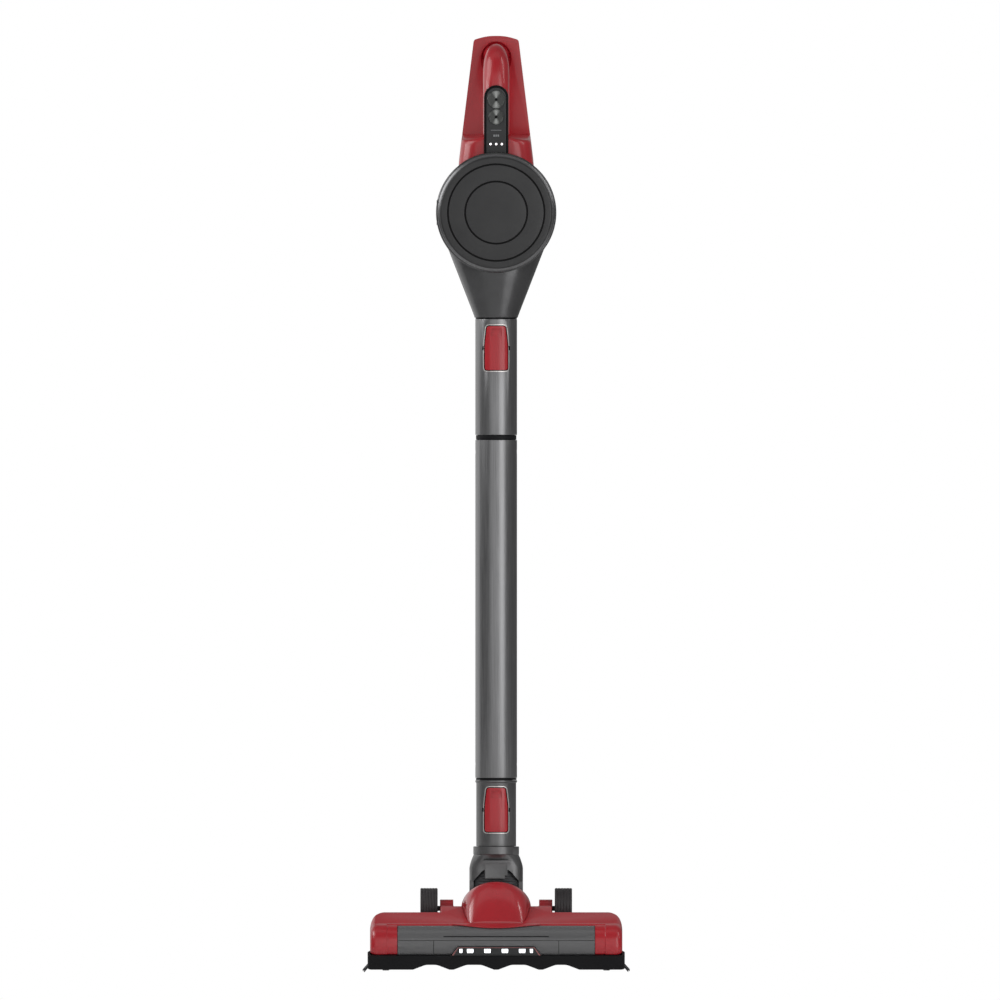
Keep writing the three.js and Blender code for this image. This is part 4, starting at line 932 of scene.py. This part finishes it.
def build_release_button(name, body, node):
    """A curved button with a pressed finger groove, on a lug that its pin runs through."""
    top = corners(node)[1].z
    skin = soften(front_patch(name, release_outline(top, 0), BUTTON_IN, BUTTON_OUT, top), 0.9, 4, 40)
    groove = rounded(mirrored([(-7, top - 12), (-6, top - 3.2)]), 2, 5)
    groove = front_patch("groove", groove, BUTTON_OUT - 1.5, 40, top)
    pivot = top - BUTTON_LENGTH / 2
    lug = block("lug", -5, 5, WAND_Y - 24.4, WAND_Y - 21.4, pivot - 2.2, pivot + 2.2)
    pin_hole = rod("pin_hole", "x", -8, 8, (0, WAND_Y - 22.9, pivot), 0.95, 0)
    finish(soften(cut(join(skin, lug), groove, pin_hole), 0.3, 2, 45), body, "red_gloss", node)


def button_pocket(node):
    top = corners(node)[1].z
    return front_patch("pocket", release_outline(top, POCKET_GAP), POCKET_IN, 40, top)


def build_pocket_rim(body, node, radius):
    """A release button's raised surround, its pocket's black lining, and the two ends of its pin."""
    top = corners(node)[1].z
    bead = front_patch(f"{node}_rim", release_outline(top, POCKET_GAP + 1.1), radius - 0.6, radius + 0.4, top)
    bead = cut(bead, prism("pocket", release_outline(top, POCKET_GAP + 0.05), "y", WAND_Y - 40, WAND_Y))
    finish(bead, body, "brushed_metal", look="rim_metal")
    pivot = top - BUTTON_LENGTH / 2
    lining = release_outline(top, POCKET_GAP - 0.05)
    lining = front_patch(f"{node}_pocket", lining, POCKET_IN + 0.05, POCKET_IN + 0.4, top)
    lining = cut(lining, block("lug_slot", -6, 6, WAND_Y - 30, WAND_Y, pivot - 5, pivot + 5))
    finish(lining, body, "rubber_black", look="black_gloss")
    front = WAND_Y - math.sqrt(radius ** 2 - 15 ** 2) - 0.6
    ends = [block(f"{node}_pin_ends", x - 1, x + 1, front, front + 4, pivot - 2.4, pivot + 2.4)
            for x in (-15.4, 15.4)]
    finish(gather(*ends), body, "steel", look="black_gloss")


def build_sleeve(end, profile, body, slot, node, radius):
    """A coupling with the pocket for its release button."""
    button = f"{end}_release_button"
    sleeve = cut(wand_lathe(f"{end}_sleeve", profile), button_pocket(button))
    finish(soften(sleeve, 0.35, 2, 40), body, slot, node)
    build_pocket_rim(body, button, radius)


def build_couplings():
    high, low = COUPLING_HIGH.z, COUPLING_LOW.z
    profile = [(SLEEVE_BORE, high, 0.4), (TUBE_RADIUS, high, 0.8), (TUBE_RADIUS, low, 0.6), (22.6, low, 0.3),
               (22.6, low + 47), (SLEEVE_BORE, low + 57)]
    build_sleeve("upper", profile, "wand", "tube_metal", "upper_coupling", TUBE_RADIUS)
    high, low = NECK_HIGH.z, NECK_LOW.z
    collar = high - 77.8
    profile = [(SLEEVE_BORE, high, 0.4), (TUBE_RADIUS, high, 0.6), (TUBE_RADIUS, high - 2.2, 0.4),
               (NECK_RADIUS, high - 3, 0.3), (NECK_RADIUS, collar, 0.3), (21.4, collar, 0.3),
               (21.4, low, 0.4), (WAND_BORE, low, 0.4), (WAND_BORE, low + 36), (SLEEVE_BORE, low + 42)]
    build_sleeve("lower", profile, "neck", "neck_satin", "neck_coupling", NECK_RADIUS)


def build_wand():
    """The long pipe with its four dimples, the black ring above it and the black plug below it."""
    high, low = TUBE_HIGH.z, TUBE_LOW.z
    pipe = [(PIPE_BORE, low), (TUBE_RADIUS, low, 0.5), (TUBE_RADIUS, high, 0.5), (PIPE_BORE, high)]
    pipe = wand_lathe("wand_pipe", pipe)
    dimples = []
    for z in (high - 14, low + 16.3):
        for start, end in ((-30, -23.9), (23.9, 30)):
            dimples.append(rod("dimple", "x", start, end, (0, WAND_Y, z), 2.6, 0))
    finish(cut(pipe, *dimples), "wand", "tube_metal", "wand_tube")
    ring_low, ring_high = high + 0.3, COUPLING_LOW.z - 0.3
    ring = [(18, ring_high + 42), (22.2, ring_high + 42), (22.2, ring_high), (23.9, ring_high, 0.6),
            (23.9, ring_low, 0.6), (22.8, ring_low), (22.8, ring_low - 15), (18, ring_low - 15)]
    finish(wand_lathe("joint_ring", ring), "wand", "black_matte", "coupling_ring")
    gap_high, gap_low = low - 0.3, NECK_HIGH.z + 0.3
    plug_high, plug_low = gap_high + 16.9, gap_low - 47.8
    spigot = [(WAND_BORE, plug_high), (22.8, plug_high), (22.8, gap_high), (24, gap_high, 0.4),
              (24, gap_low, 0.4), (SPIGOT_RADIUS, gap_low), (SPIGOT_RADIUS, plug_low, 1),
              (WAND_BORE, plug_low)]
    finish(wand_lathe("spigot_plug", spigot), "wand", "black_matte", "lower_spigot")


# ---- neck ----

CHEEK_OUT = 31.6
CHEEK_IN = 26.6
EYE_RADIUS = 11
LOWEST_Z = -895                 # the hanging machine's lowest point


def above_floor(height):
    """Height above the machine's lowest point, turned into the machine's own z."""
    return LOWEST_Z + height


def yoke_ring(height, half_x, half_y, power):
    return oval((0, WAND_Y, above_floor(height)), (half_x, 0, 0), (0, half_y, 0), power, 72)


def build_yoke():
    """A hood that widens below its collar into two cheeks, which the pivot pins run through."""
    rows = [(147.4, 26.4, 26.4, 2), (147, 27, 27, 2), (138.5, 27, 27, 2)]
    rows += smooth_between([(137.6, 26.6, 26.2, 2), (133, 28.6, 23, 2.5), (127, 30.6, 20.6, 3.2),
                            (122, CHEEK_OUT, 20, 3.6)], 4)
    rows.append((106, CHEEK_OUT, 20, 3.6))
    hood = loft("yoke_hood", [yoke_ring(*row) for row in rows])
    up = above_floor
    arch = mirrored([(-CHEEK_IN, up(100)), (-CHEEK_IN, up(107), 1), (-14.5, up(121), 6)])
    arch = prism("arch", rounded(arch, 0, 8), "y", WAND_Y - 40, WAND_Y + 40)
    neck_bore = rod("neck_bore", "z", up(133), up(150), WAND_AXIS, 21.8, 0)
    hose_bore = rod("hose_bore", "z", up(90), up(134), WAND_AXIS, 17.2, 0)
    hood = cut(hood, arch, neck_bore, hose_bore)
    cheeks = []
    for x0, x1 in ((-CHEEK_OUT, -CHEEK_IN), (CHEEK_IN, CHEEK_OUT)):
        outline = [(WAND_Y - EYE_RADIUS, up(107.5)), *arc(WAND_Y, PIVOT.z, EYE_RADIUS, 180, 360, 32),
                   (WAND_Y + EYE_RADIUS, up(107.5))]
        cheeks.append(prism("cheek", outline, "x", x0, x1))
    pin_hole = rod("pin_hole", "x", -40, 40, (0, WAND_Y, PIVOT.z), PIN_HOLE, 0)
    finish(soften(cut(join(hood, *cheeks), pin_hole), 0.7, 3, 35), "yoke", "neck_satin", "neck_yoke")


def build_neck_plate():
    """The small dished plate on the yoke's front, on a foot that joins the two."""
    outline = [(-13.3, 0, 1), (-13.3, 16.4, 1.5), (-17.5, 21.9, 0.8), (17.5, 21.9, 0.8), (13.3, 16.4, 1.5),
               (13.3, 3.9, 0.5), (10.5, 3.9, 0.5), (10.5, 0, 0.5)]
    plate = prism("hood_plate", rounded(outline, 0, 4), "y", -2.2, 0)
    dish = rounded([(-12.3, 1.2), (-12.3, 18.6), (12.3, 18.6), (12.3, 5), (9.4, 1.2)], 1.5)
    dish = prism("dish", dish, "y", -3, -1.7)
    lean = Matrix.Rotation(math.radians(7.3), 4, "X")
    place = Matrix.Translation((0, WAND_Y - 20.4, above_floor(109.6))) @ lean
    foot = block("foot", -9, 9, -0.5, 5, 10, 20)
    finish(soften(join(cut(plate, dish), foot), 0.4, 3, 35), "yoke", "neck_satin", "neck_plate", place=place)


def bellows(name, curve_at, frame_at, wide, thin, folds):
    """A ribbed hose with a wall, swept along a curve."""
    along, around = folds * 10, 56
    outer, inner = [], []
    for i in range(along + 1):
        t = i / along
        centre, side, back = curve_at(t), *frame_at(t)
        rise = (0.5 - 0.5 * math.cos(2 * math.pi * folds * t)) ** 0.7
        radius = thin + (wide - thin) * rise
        outer.append(oval(centre, side * radius, back * radius, 2, around))
        inner.append(oval(centre, side * (radius - 1.2), back * (radius - 1.2), 2, around))
    return loft(name, outer + inner[::-1], closed=True)


def build_hose():
    """The hose from the yoke down to the head's throat, made in one fixed shape for the resting pose."""
    start = Vector((0, WAND_Y, PIVOT.z + 40))
    end = HEAD @ Vector((0, 104.2, 36.2))
    leaving = HEAD.to_3x3() @ Vector((0, math.cos(math.radians(48)), math.sin(math.radians(48))))
    handles = [start, start - Vector((0, 0, 14)), end + leaving * 15.6, end]

    def curve_at(t):
        weights = ((1 - t) ** 3, 3 * t * (1 - t) ** 2, 3 * t * t * (1 - t), t ** 3)
        return sum((point * weight for point, weight in zip(handles, weights)), Vector())

    def frame_at(t):
        low, high = max(t - 0.01, 0), min(t + 0.01, 1)
        forward = (curve_at(high) - curve_at(low)).normalized()
        return Vector((1, 0, 0)), forward.cross(Vector((1, 0, 0)))

    hose = bellows("ribbed_hose", curve_at, frame_at, 16, 14, 11)
    dress(hose, "rubber_black")
    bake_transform(hose)
    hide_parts("neck_hose")


def build_boot():
    """The ribbed collar that fills the yoke's arch round the hose."""
    outer, inner = [], []
    for i in range(61):
        height = 97.6 + 23.4 * i / 60
        rise = 0.5 - 0.5 * math.cos(2 * math.pi * height / 3.9)
        half_x = min(CHEEK_IN + 0.4, CHEEK_IN + 0.9 - (height - 107) * 12.1 / 14)
        outer.append(yoke_ring(height, half_x, 18.6 - 1.3 * (1 - rise), 3))
        inner.append(yoke_ring(height, min(17.4, half_x - 1), 16.6, 2))
    finish(loft("hose_boot", outer + inner[::-1], closed=True), "yoke", "rubber_black", look="boot_grey")


# ---- floor head: red covers ----

def cover_profile(inset):
    """The cover's section as (y, z): round over the brush, then a flat deck."""
    radius = COVER_RADIUS - inset
    back, deck = COVER_BACK_Y - inset, DECK_Z - inset
    profile = [(BRUSH_Y - radius, BRUSH_Z - 5), *arc(BRUSH_Y, BRUSH_Z, radius, 180, 64, 36)]
    profile += [(BRUSH_Y + 14, deck), *arc(back - 7, deck - 7, 7, 90, 0, 8), (back, BRUSH_Z - 5)]
    return profile


def cover_solid(name, inset, edge):
    """The cover's section run from end to end, with its rims rounded at both ends."""
    half = HEAD_HALF - inset
    places = []
    for i in range(9):
        angle = math.pi / 2 * i / 8
        places.append((half - edge * (1 - math.cos(angle)), inset + edge * (1 - math.sin(angle))))
    places = [(-x, depth) for x, depth in places] + [(x, depth) for x, depth in reversed(places)]
    return loft(name, [[Vector((x, y, z)) for y, z in cover_profile(depth)] for x, depth in places])


def cover_plan(inset):
    """The cover's outline from above, with wide round corners at its back."""
    half, front, back = HEAD_HALF - inset, -3 + inset, COVER_BACK_Y - inset + 0.5
    return rounded(mirrored([(-half, front, 9), (-half, back, 44)]), 0, 16)


def arc_strip(name, inner, outer, x0, x1, start, end, steps=40):
    """A curved strip round the brush's axis, from one angle in degrees to another."""
    outline = arc(*BRUSH_AXIS[1:], outer, start, end, steps) + arc(*BRUSH_AXIS[1:], inner, end, start, steps)
    return prism(name, outline, "x", x0, x1)


def arc_window(name, inner, outer, half, start, end, corner=0.0):
    """A curved strip that is even about the middle, with round corners if asked for."""
    strip = arc_strip(name, inner, outer, -half, half, start, end)
    return soften(strip, corner, 5, 60) if corner else strip


def build_cover():
    outer = cover_solid("deck_cover", 0, 8)
    outer = shared(outer, prism("plan", cover_plan(0), "z", SEAM_Z, 60))
    inner = cover_solid("inner", 2.2, 6)
    inner = shared(inner, prism("plan", cover_plan(2.2), "z", 0, 60))
    ledge = soften(block("ledge", -66, 66, COVER_BACK_Y - 10, 88, 36, DECK_Z), 2.5, 4)
    step = arc_window("step", COVER_RADIUS - 0.9, 40, WINDOW_HALF + 12.6, 73, 184, 2.2)
    opening = arc_window("opening", 12, 40, WINDOW_HALF + 0.3, 80, 184)
    under_dome = block("under_dome", -27, 27, 44, 95, 15, 60)
    dome_seat = dome("dome_seat", 0.35)
    wheels = [rod("wheel_room", "x", x, x + 17, WHEEL_AXIS, 12, 0) for x in (-67, 50)]
    cover = cut(join(cut(outer, inner), ledge), step, opening, under_dome, dome_seat, *wheels)
    finish_head(soften(cover, 0.55, 3, 30), "red_gloss", "head_cover", sharp=40)


DOME_FRONT_Y = 38
DOME_BACK_Y = 93
DOME_BASE_Z = 40
DOME_HIGH = 33.6


def dome(name, grow, back=0.0):
    """The bulge over the hose: a flat sloping face at its front, round at its back."""
    length = DOME_BACK_Y - DOME_FRONT_Y
    rings = []
    for i in range(1, 49):
        share = (i / 48) ** 1.7
        nose = math.sqrt(1 - (1 - min(share / 0.05, 1)) ** 2)
        half = 27 + 3.4 * nose + 10.6 * share ** 0.6 + grow
        high = max(DOME_HIGH * (0.16 * nose + 0.84 * (1 - (1 - share) ** 1.5)) + grow, 0.4)
        y = DOME_FRONT_Y - grow + (length + grow + back) * share
        round_off = 2 / (2 + 1.7 * (1 - share) ** 0.8)
        ring = []
        for k in range(65):
            angle = math.pi * k / 64
            across = math.copysign(abs(math.cos(angle)) ** round_off, math.cos(angle))
            ring.append(Vector((half * across, y, DOME_BASE_Z + high * math.sin(angle) ** round_off)))
        low = DOME_BASE_Z - (3.5 if grow < 0 else 0.5)
        ring += [Vector((-half, y, low)), Vector((half, y, low))]
        rings.append(ring)
    return loft(name, rings)


def build_dome():
    shell = cut(dome("dome_shell", 0), dome("dome_inside", -2.2, 6))
    groove = rod("groove", "y", -5, 5, (0, 0, 0), 1.1, 1)
    groove.data.transform(Matrix.Translation((0, 75, 69.4)) @ Matrix.Rotation(math.radians(24), 4, "X"))
    shell = cut(shell, groove, block("slit", -46, -35, 69, 71, 46, 57))
    finish_head(soften(shell, 0.8, 3, 50), "red_gloss", "dome_cover", sharp=60, look="dome_gloss")


def build_lip():
    """A thin crescent under the dome that runs down over the top of the brush window."""
    half, steps = 52, 48
    rings = []
    for i in range(steps + 1):
        x = half * (2 * i / steps - 1)
        reach = 79 + 22 * (1 - (x / half) ** 2) ** 1.1
        outer = arc(BRUSH_Y, BRUSH_Z, COVER_RADIUS + 0.9, 70, reach, 14)
        inner = arc(BRUSH_Y, BRUSH_Z, COVER_RADIUS - 0.2, reach + 0.6, 70, 14)
        rings.append([Vector((x, y, z)) for y, z in outer + inner])
    lip = loft("dome_lip", rings)
    finish_head(soften(lip, 0.4, 3, 40), "red_gloss", sharp=50)


def build_window():
    """The clear window over the brush, with thin black lines on its face."""
    pane = arc_window("window_pane", 22, 24.3, WINDOW_HALF - 0.2, 81, 181, 0.5)
    finish_head(pane, "smoky_clear", "brush_window", look="smoky_window")
    wide = WINDOW_HALF - 1
    strips = ((-62, 62, 127.5, 130.5), (-wide, wide, 140, 141.2), (-74, -73.4, 141, 178),
              (73.4, 74, 141, 178))
    rails = [arc_strip("window_rail", 24.2, 24.42, *strip, 12) for strip in strips]
    finish_head(gather(*rails), "black_matte")


# ---- floor head: lights ----

LAMP_XS = (-30.6, -10.3, 10.3, 30.6)
END_LAMP_XS = (-41.5, 41.5)


def lamp_blocks(name, shrink, front, back):
    """One block for each pane of the light bar."""
    blocks = []
    for xs, half in ((LAMP_XS, 3.7), (END_LAMP_XS, 1.7)):
        for x in xs:
            low, high = 25.7 + shrink, 31 - shrink
            blocks.append(block(name, x - half + shrink, x + half - shrink, front, back, low, high))
    return blocks


def bar_prism(name, low_half, low, high_half, high, front, back, radius=0.8):
    """A plate that is narrower at its top, seen from the front."""
    outline = rounded(mirrored([(-low_half, low), (-high_half, high)]), radius)
    return prism(name, outline, "y", front, back)


def build_light_bar():
    low = SEAM_Z + 0.3
    bezel = bar_prism("light_frame", 52.5, low, 45.2, 33.5, -2, 2.4)
    face = bar_prism("face", 50.2, low + 1, 44.2, 32.4, -3, -1.4)
    back = block("back", -44, 44, 0.4, 4, 24.6, 31.6)
    bezel = cut(bezel, face, back, *lamp_blocks("lamp", 0, -3, 4))
    finish_head(soften(bezel, 0.25, 2), "black_panel", "light_bezel")
    edge = bar_prism("light_edge", 52.3, low + 0.2, 45.1, 33.3, -2.05, -1.85)
    edge = cut(edge, bar_prism("inner", 51, low - 1, 44.6, 32.7, -3, 0, 0.6))
    finish_head(edge, "red_gloss", look="edge_line")
    strip = block("light_panes", -43.6, 43.6, 0.7, 2.2, 25, 31.2)
    lens = join(strip, *lamp_blocks("pane", 0.3, -1.7, 1))
    finish_head(soften(lens, 0.2, 2), "white_light", "light_lens")


# ---- floor head: base ----

BASE_LOW_Z = 4.3
FLOOR_TOP_Z = 6
CHAMBER_HALF = 115.5
CHAMBER_BACK_Y = 52
BUMPER_HALF = 151.5
ROLLER_X = 130
ROLLER_RADIUS = 6


def base_plan(half, front, back, corner):
    """The base's outline from above: a bumper across the front, and narrower behind it."""
    narrow = half - 3
    side = [(-half, front, 10), (-half, 9, 1), (-narrow, 13, 1), (-narrow, back, corner)]
    return rounded(mirrored(side), 0, 14)


def build_base():
    """The black tray under the head: bumper, floor, brush chamber and the neck's two brackets."""
    seam, low = SEAM_Z - 0.3, BASE_LOW_Z
    bumper = prism("head_tray", base_plan(BUMPER_HALF, -2.2, 66, 30), "z", low, seam)
    inside = prism("inside", base_plan(BUMPER_HALF - 2.8, 0.6, 62, 30), "z", low - 1, seam + 1)
    bumper = cut(bumper, inside, block("behind", -200, 200, 50, 90, low - 1, seam + 1))
    floor = prism("floor_plate", base_plan(BUMPER_HALF - 1, -1.8, 74, 38), "z", low, FLOOR_TOP_Z)
    tail = block("tail", -66.3, 66.3, 70, 108, low, FLOOR_TOP_Z + 1)
    sill = block("sill", -146, 146, 0.2, 5, 19.4, 21.1)
    parts = [floor, tail, sill]
    for x in (-25.6, 20.2):
        parts.append(rod("bracket_eye", "x", x, x + 5.4, HEAD_PIVOT, 7.5, 0.4))
        web = [(96, FLOOR_TOP_Z - 1), (111, 44), (124, 38), (108, FLOOR_TOP_Z - 1)]
        parts.append(prism("bracket_web", web, "x", x + 0.2, x + 5.2))
    half, wall_back, foot = CHAMBER_HALF, CHAMBER_BACK_Y + 2, FLOOR_TOP_Z - 1
    parts.append(block("back_wall", -half, half, CHAMBER_BACK_Y, wall_back, foot, 42))
    for x in (-half - 2, half):
        parts.append(block("end_wall", x, x + 2, 10, wall_back, foot, 34))
    base = join(bumper, *parts)
    holes = [
        block("mouth", -113, 113, 7, CHAMBER_BACK_Y, 0, FLOOR_TOP_Z + 2),
        block("dome_notch", -41.5, 41.5, CHAMBER_BACK_Y - 1, wall_back + 1, DOME_BASE_Z - 1, 50),
        block("throat_hole", -16.5, 16.5, CHAMBER_BACK_Y - 2, wall_back + 2, 8.6, 36.4),
        rod("roll_hole", "x", -120, 120, BRUSH_AXIS, 5.4, 0),
        rod("pin_hole", "x", -40, 40, HEAD_PIVOT, PIN_HOLE, 0),
    ]
    for side in (-1, 1):
        holes.append(block("roller_well", side * ROLLER_X - 4.4, side * ROLLER_X + 4.4, -0.6, 14, 0, 13.5))
        holes.append(tuft_block("tuft_slot", side, 0.3))
    for start, end in ((-98, -55), (-50, -2.5), (2.5, 50), (55, 98)):
        outline = [(start, 0), (start, low), (start + 15, 10.6, 3), (end - 15, 10.6, 3), (end, low), (end, 0)]
        holes.append(prism("scallop", rounded(outline, 0, 6), "y", -5, 7.5))
    finish_head(soften(cut(base, *holes), 0.45, 2, 32), "black_matte", "head_base")


def build_lugs():
    """The red arms that hold the rear wheels' axles."""
    lugs = []
    for x in (-66.3, 50.6):
        eye = rod("axle_lugs", "x", x, x + 15.7, WHEEL_AXIS, 10.5, 0.6)
        web = [(92, BASE_LOW_Z), (92, 8), (118, 32), (130, 18), (118, BASE_LOW_Z + 6), (104, BASE_LOW_Z)]
        hole = rod("axle_hole", "x", x - 1, x + 17, WHEEL_AXIS, 3.3, 0)
        lugs.append(cut(join(eye, prism("lug_web", web, "x", x + 0.2, x + 15.5)), hole))
    finish_head(soften(gather(*lugs), 0.4, 2, 40), "red_gloss")


# ---- floor head: brush, wheels and tufts ----

def tuft_place(side):
    """Where a tuft stands at the bumper's end, leaning outwards."""
    return Matrix.Translation((side * 152, 4.4, 4.9)) @ Matrix.Rotation(math.radians(side * -38), 4, "Y")


def tuft_block(name, side, grow):
    strip = block(name, -1.75 - grow, 1.75 + grow, -1.9 - grow, 4 + grow, -7.2, 7.2 + grow)
    strip.data.transform(tuft_place(side))
    return strip


def bristle(root, tip, root_radius, tip_radius):
    """One bundle of bristles, wider at its cut end."""
    way = (tip - root).normalized()
    across = way.orthogonal().normalized()
    along = way.cross(across)
    rings = [oval(place, across * radius, along * radius, 2, 6)
             for place, radius in ((root, root_radius), (tip, tip_radius))]
    return loft("bristle", rings)


def build_brush():
    """A roll with four winding rows of bristle bundles, its axle and its belt pulley."""
    shape = [(0, -114.6), (4, -114.6, 0.4), (4, -112), (13.6, -112, 0.8), (13.6, 112, 0.8), (4, 112),
             (4, 118.2), (10, 118.2, 0.4), (10, 122.6, 0.4), (4, 122.6), (4, 123.6), (0, 123.6)]
    core = lathe("roll_core", shape, "x", BRUSH_AXIS, 64)
    centre = Vector(BRUSH_AXIS)
    spread = random.Random(7)
    bundles = []
    for row in range(4):
        for i in range(56):
            x = -109 + 218 * i / 55
            angle = math.radians(90 * row + 0.9 * abs(x))
            out = Vector((0, math.cos(angle), math.sin(angle)))
            reach = 19.3 - 0.5 * spread.random()
            tip = centre + out * reach + Vector((x + spread.uniform(-0.4, 0.4), 0, 0))
            bundles.append(bristle(centre + out * 13.2 + Vector((x, 0, 0)), tip, 1.2, 1.9))
    finish(gather(core, *bundles), "brush", "bristle_dark", "brush_roll", place=HEAD)


def build_wheels():
    """The two grooved rear wheels with their axle stubs, and the two small front rollers."""
    for side, label in ((-1, "left"), (1, "right")):
        inner, outer = side * (WHEEL_X - 10.2), side * (WHEEL_X + 10.2)
        profile = [(0, side * 49.8), (3, side * 49.8, 0.3), (3, inner), (20, inner, 0.5),
                   (WHEEL_RADIUS, inner, 1.4)]
        for k in range(1, 6):
            groove = inner + side * 3.4 * k
            profile += [(WHEEL_RADIUS, groove - side * 0.5, 0.2), (WHEEL_RADIUS - 0.5, groove, 0.2),
                        (WHEEL_RADIUS, groove + side * 0.5, 0.2)]
        profile += [(WHEEL_RADIUS, outer, 1.4), (18.4, outer, 0.6), (17.8, outer - side * 2, 0.4),
                    (7, outer - side * 2, 0.4), (6, outer, 0.5), (0, outer)]
        wheel = lathe(f"wheel_{label}_tyre", profile, "x", WHEEL_AXIS, 80)
        finish(wheel, f"wheel_{label}", "wheel_rubber", f"rear_wheel_{label}", place=HEAD)
        x = side * ROLLER_X
        place = (0, 6, ROLLER_RADIUS)
        roller = rod(f"roller_{label}_barrel", "x", x - 3.85, x + 3.85, place, ROLLER_RADIUS, 0.8)
        finish(roller, f"roller_{label}", "wheel_rubber", f"front_roller_{label}", place=HEAD)


def build_tufts():
    """Small fans of bristles that reach out of the bumper's lower corners."""
    spread = random.Random(11)
    for side, label in ((-1, "left"), (1, "right")):
        turn = tuft_place(side)
        bundles = []
        for i in range(18):
            y = -1.4 + 5.0 * (i % 9) / 8
            x = -0.7 if i < 9 else 0.7
            tip = Vector((x * 1.5 + spread.uniform(-0.2, 0.2), y, -7.1 + 0.4 * spread.random()))
            bundles.append(bristle(turn @ Vector((x, y, 7)), turn @ tip, 0.42, 0.36))
        finish_head(gather(*bundles), "bristle_dark", f"corner_tuft_{label}")


# ---- stage ----

FRAME_WIDTH = 1.18              # metres that the view takes in at the wand
LENS = 1500
SENSOR = 36
VIEW_CENTRE = (0.0045, -0.3388)
FLOOR_DROP = 0.25               # metres from the hanging head to the floor, enough for it to be pulled off


def build_camera():
    """Square on to the wand, from far off, so that the view is nearly parallel."""
    bpy.context.scene.view_settings.view_transform = "Standard"
    data = bpy.data.cameras.new("camera")
    data.lens = LENS
    data.sensor_width = SENSOR
    distance = FRAME_WIDTH * LENS / SENSOR
    data.clip_end = distance * 4
    camera = bpy.data.objects.new("camera", data)
    camera.location = (VIEW_CENTRE[0], WAND_Y * MM - distance, VIEW_CENTRE[1])
    camera.rotation_euler = (math.pi / 2, 0, 0)
    bpy.context.scene.collection.objects.link(camera)
    bpy.context.scene.camera = camera


def area_light(name, turn, rise, distance, size, power, height=-0.34):
    """A soft box aimed at the machine's centre line, turned round it from the camera and raised."""
    target = Vector((0, WAND_Y * MM, height))
    a, e = math.radians(turn), math.radians(rise)
    place = target + distance * Vector((math.sin(a) * math.cos(e), -math.cos(a) * math.cos(e), math.sin(e)))
    data = bpy.data.lights.new(name, "AREA")
    data.shape = "RECTANGLE"
    data.size, data.size_y = size
    data.energy = power
    light = bpy.data.objects.new(name, data)
    light.location = place
    light.rotation_euler = (target - place).to_track_quat("-Z", "Y").to_euler()
    bpy.context.scene.collection.objects.link(light)


def build_lights():
    area_light("left_back_box", -132, 4, 2.3, (2.6, 2.8), 15)
    area_light("key_box", 33, 6, 2.6, (1.3, 2.8), 21)
    area_light("wide_box", -8, 10, 3.2, (3.2, 2.8), 17)
    area_light("top_box", 0, 82, 2.6, (2.4, 1.2), 3)
    area_light("left_top_box", -78, 38, 2.6, (1.7, 1.3), 19)
    area_light("right_top_box", 76, 38, 2.6, (0.25, 1.6), 7)
    area_light("grip_box", -85, 6, 1.2, (0.8, 0.2), 2.4, 0.17)
    area_light("back_box", 165, 25, 2.8, (2.0, 1.6), 2)


def build_world():
    """White behind the machine, and a softer grey in its reflections."""
    world = bpy.data.worlds.new("world")
    bpy.context.scene.world = world
    world.use_nodes = True
    nodes = world.node_tree.nodes
    background = nodes["Background"]
    background.inputs["Color"].default_value = (1, 1, 1, 1)
    background.inputs["Strength"].default_value = 0.17
    seen = add_node(world, "ShaderNodeBackground", Color=(1, 1, 1, 1), Strength=1.0)
    path = add_node(world, "ShaderNodeLightPath")
    mix = add_node(world, "ShaderNodeMixShader")
    link(world, path.outputs["Is Camera Ray"], mix.inputs["Fac"])
    link(world, background.outputs["Background"], mix.inputs[1])
    link(world, seen.outputs["Background"], mix.inputs[2])
    link(world, mix.outputs["Shader"], nodes["World Output"].inputs["Surface"])


def build_floor():
    """A pale floor, which the camera sees as white as the backdrop; the machine hangs clear above it."""
    half = 6000
    material = new_material("floor", (0.93, 0.93, 0.93), 0.9, Emission_Color=(1, 1, 1, 1))
    vary_roughness(material, noise(material, coordinates(material), 6), 0.85, 0.95)
    path = add_node(material, "ShaderNodeLightPath")
    glow = add_node(material, "ShaderNodeMapRange", To_Min=0, To_Max=0.85)
    link(material, path.outputs["Is Camera Ray"], glow.inputs["Value"])
    feed(material, glow.outputs["Result"], "Emission Strength")
    floor = prism("floor", rounded(mirrored([(-half, -half), (-half, half)]), 60), "z", -8, 0)
    floor.data.transform(Matrix.Scale(MM, 4))
    floor.location = (0, WAND_Y * MM, CAD_BOUNDS[0][2] - FLOOR_DROP)
    floor.data.materials.append(material)


# ---- everything ----

build_camera()
build_lights()
build_world()
build_floor()
make_materials()
dress_cad_nodes()

build_lid()
build_inlet()
build_cup()
build_filters()
build_motor_housing()
build_shoulder()
build_handle()
build_battery_bay()
build_battery()
build_panel()
build_button("power_dial", "power_key", "power_button", POWER_BUTTON)
build_button("mode_dial", "mode_key", "mode_button", MODE_BUTTON)
build_exhaust()
build_dock()

build_couplings()
build_release_button("upper_press", "upper_release", "upper_release_button")
build_release_button("lower_press", "lower_release", "lower_release_button")
build_wand()
build_yoke()
build_neck_plate()
build_hose()
build_boot()

build_cover()
build_dome()
build_lip()
build_window()
build_light_bar()
build_base()
build_lugs()
build_brush()
build_wheels()
build_tufts()
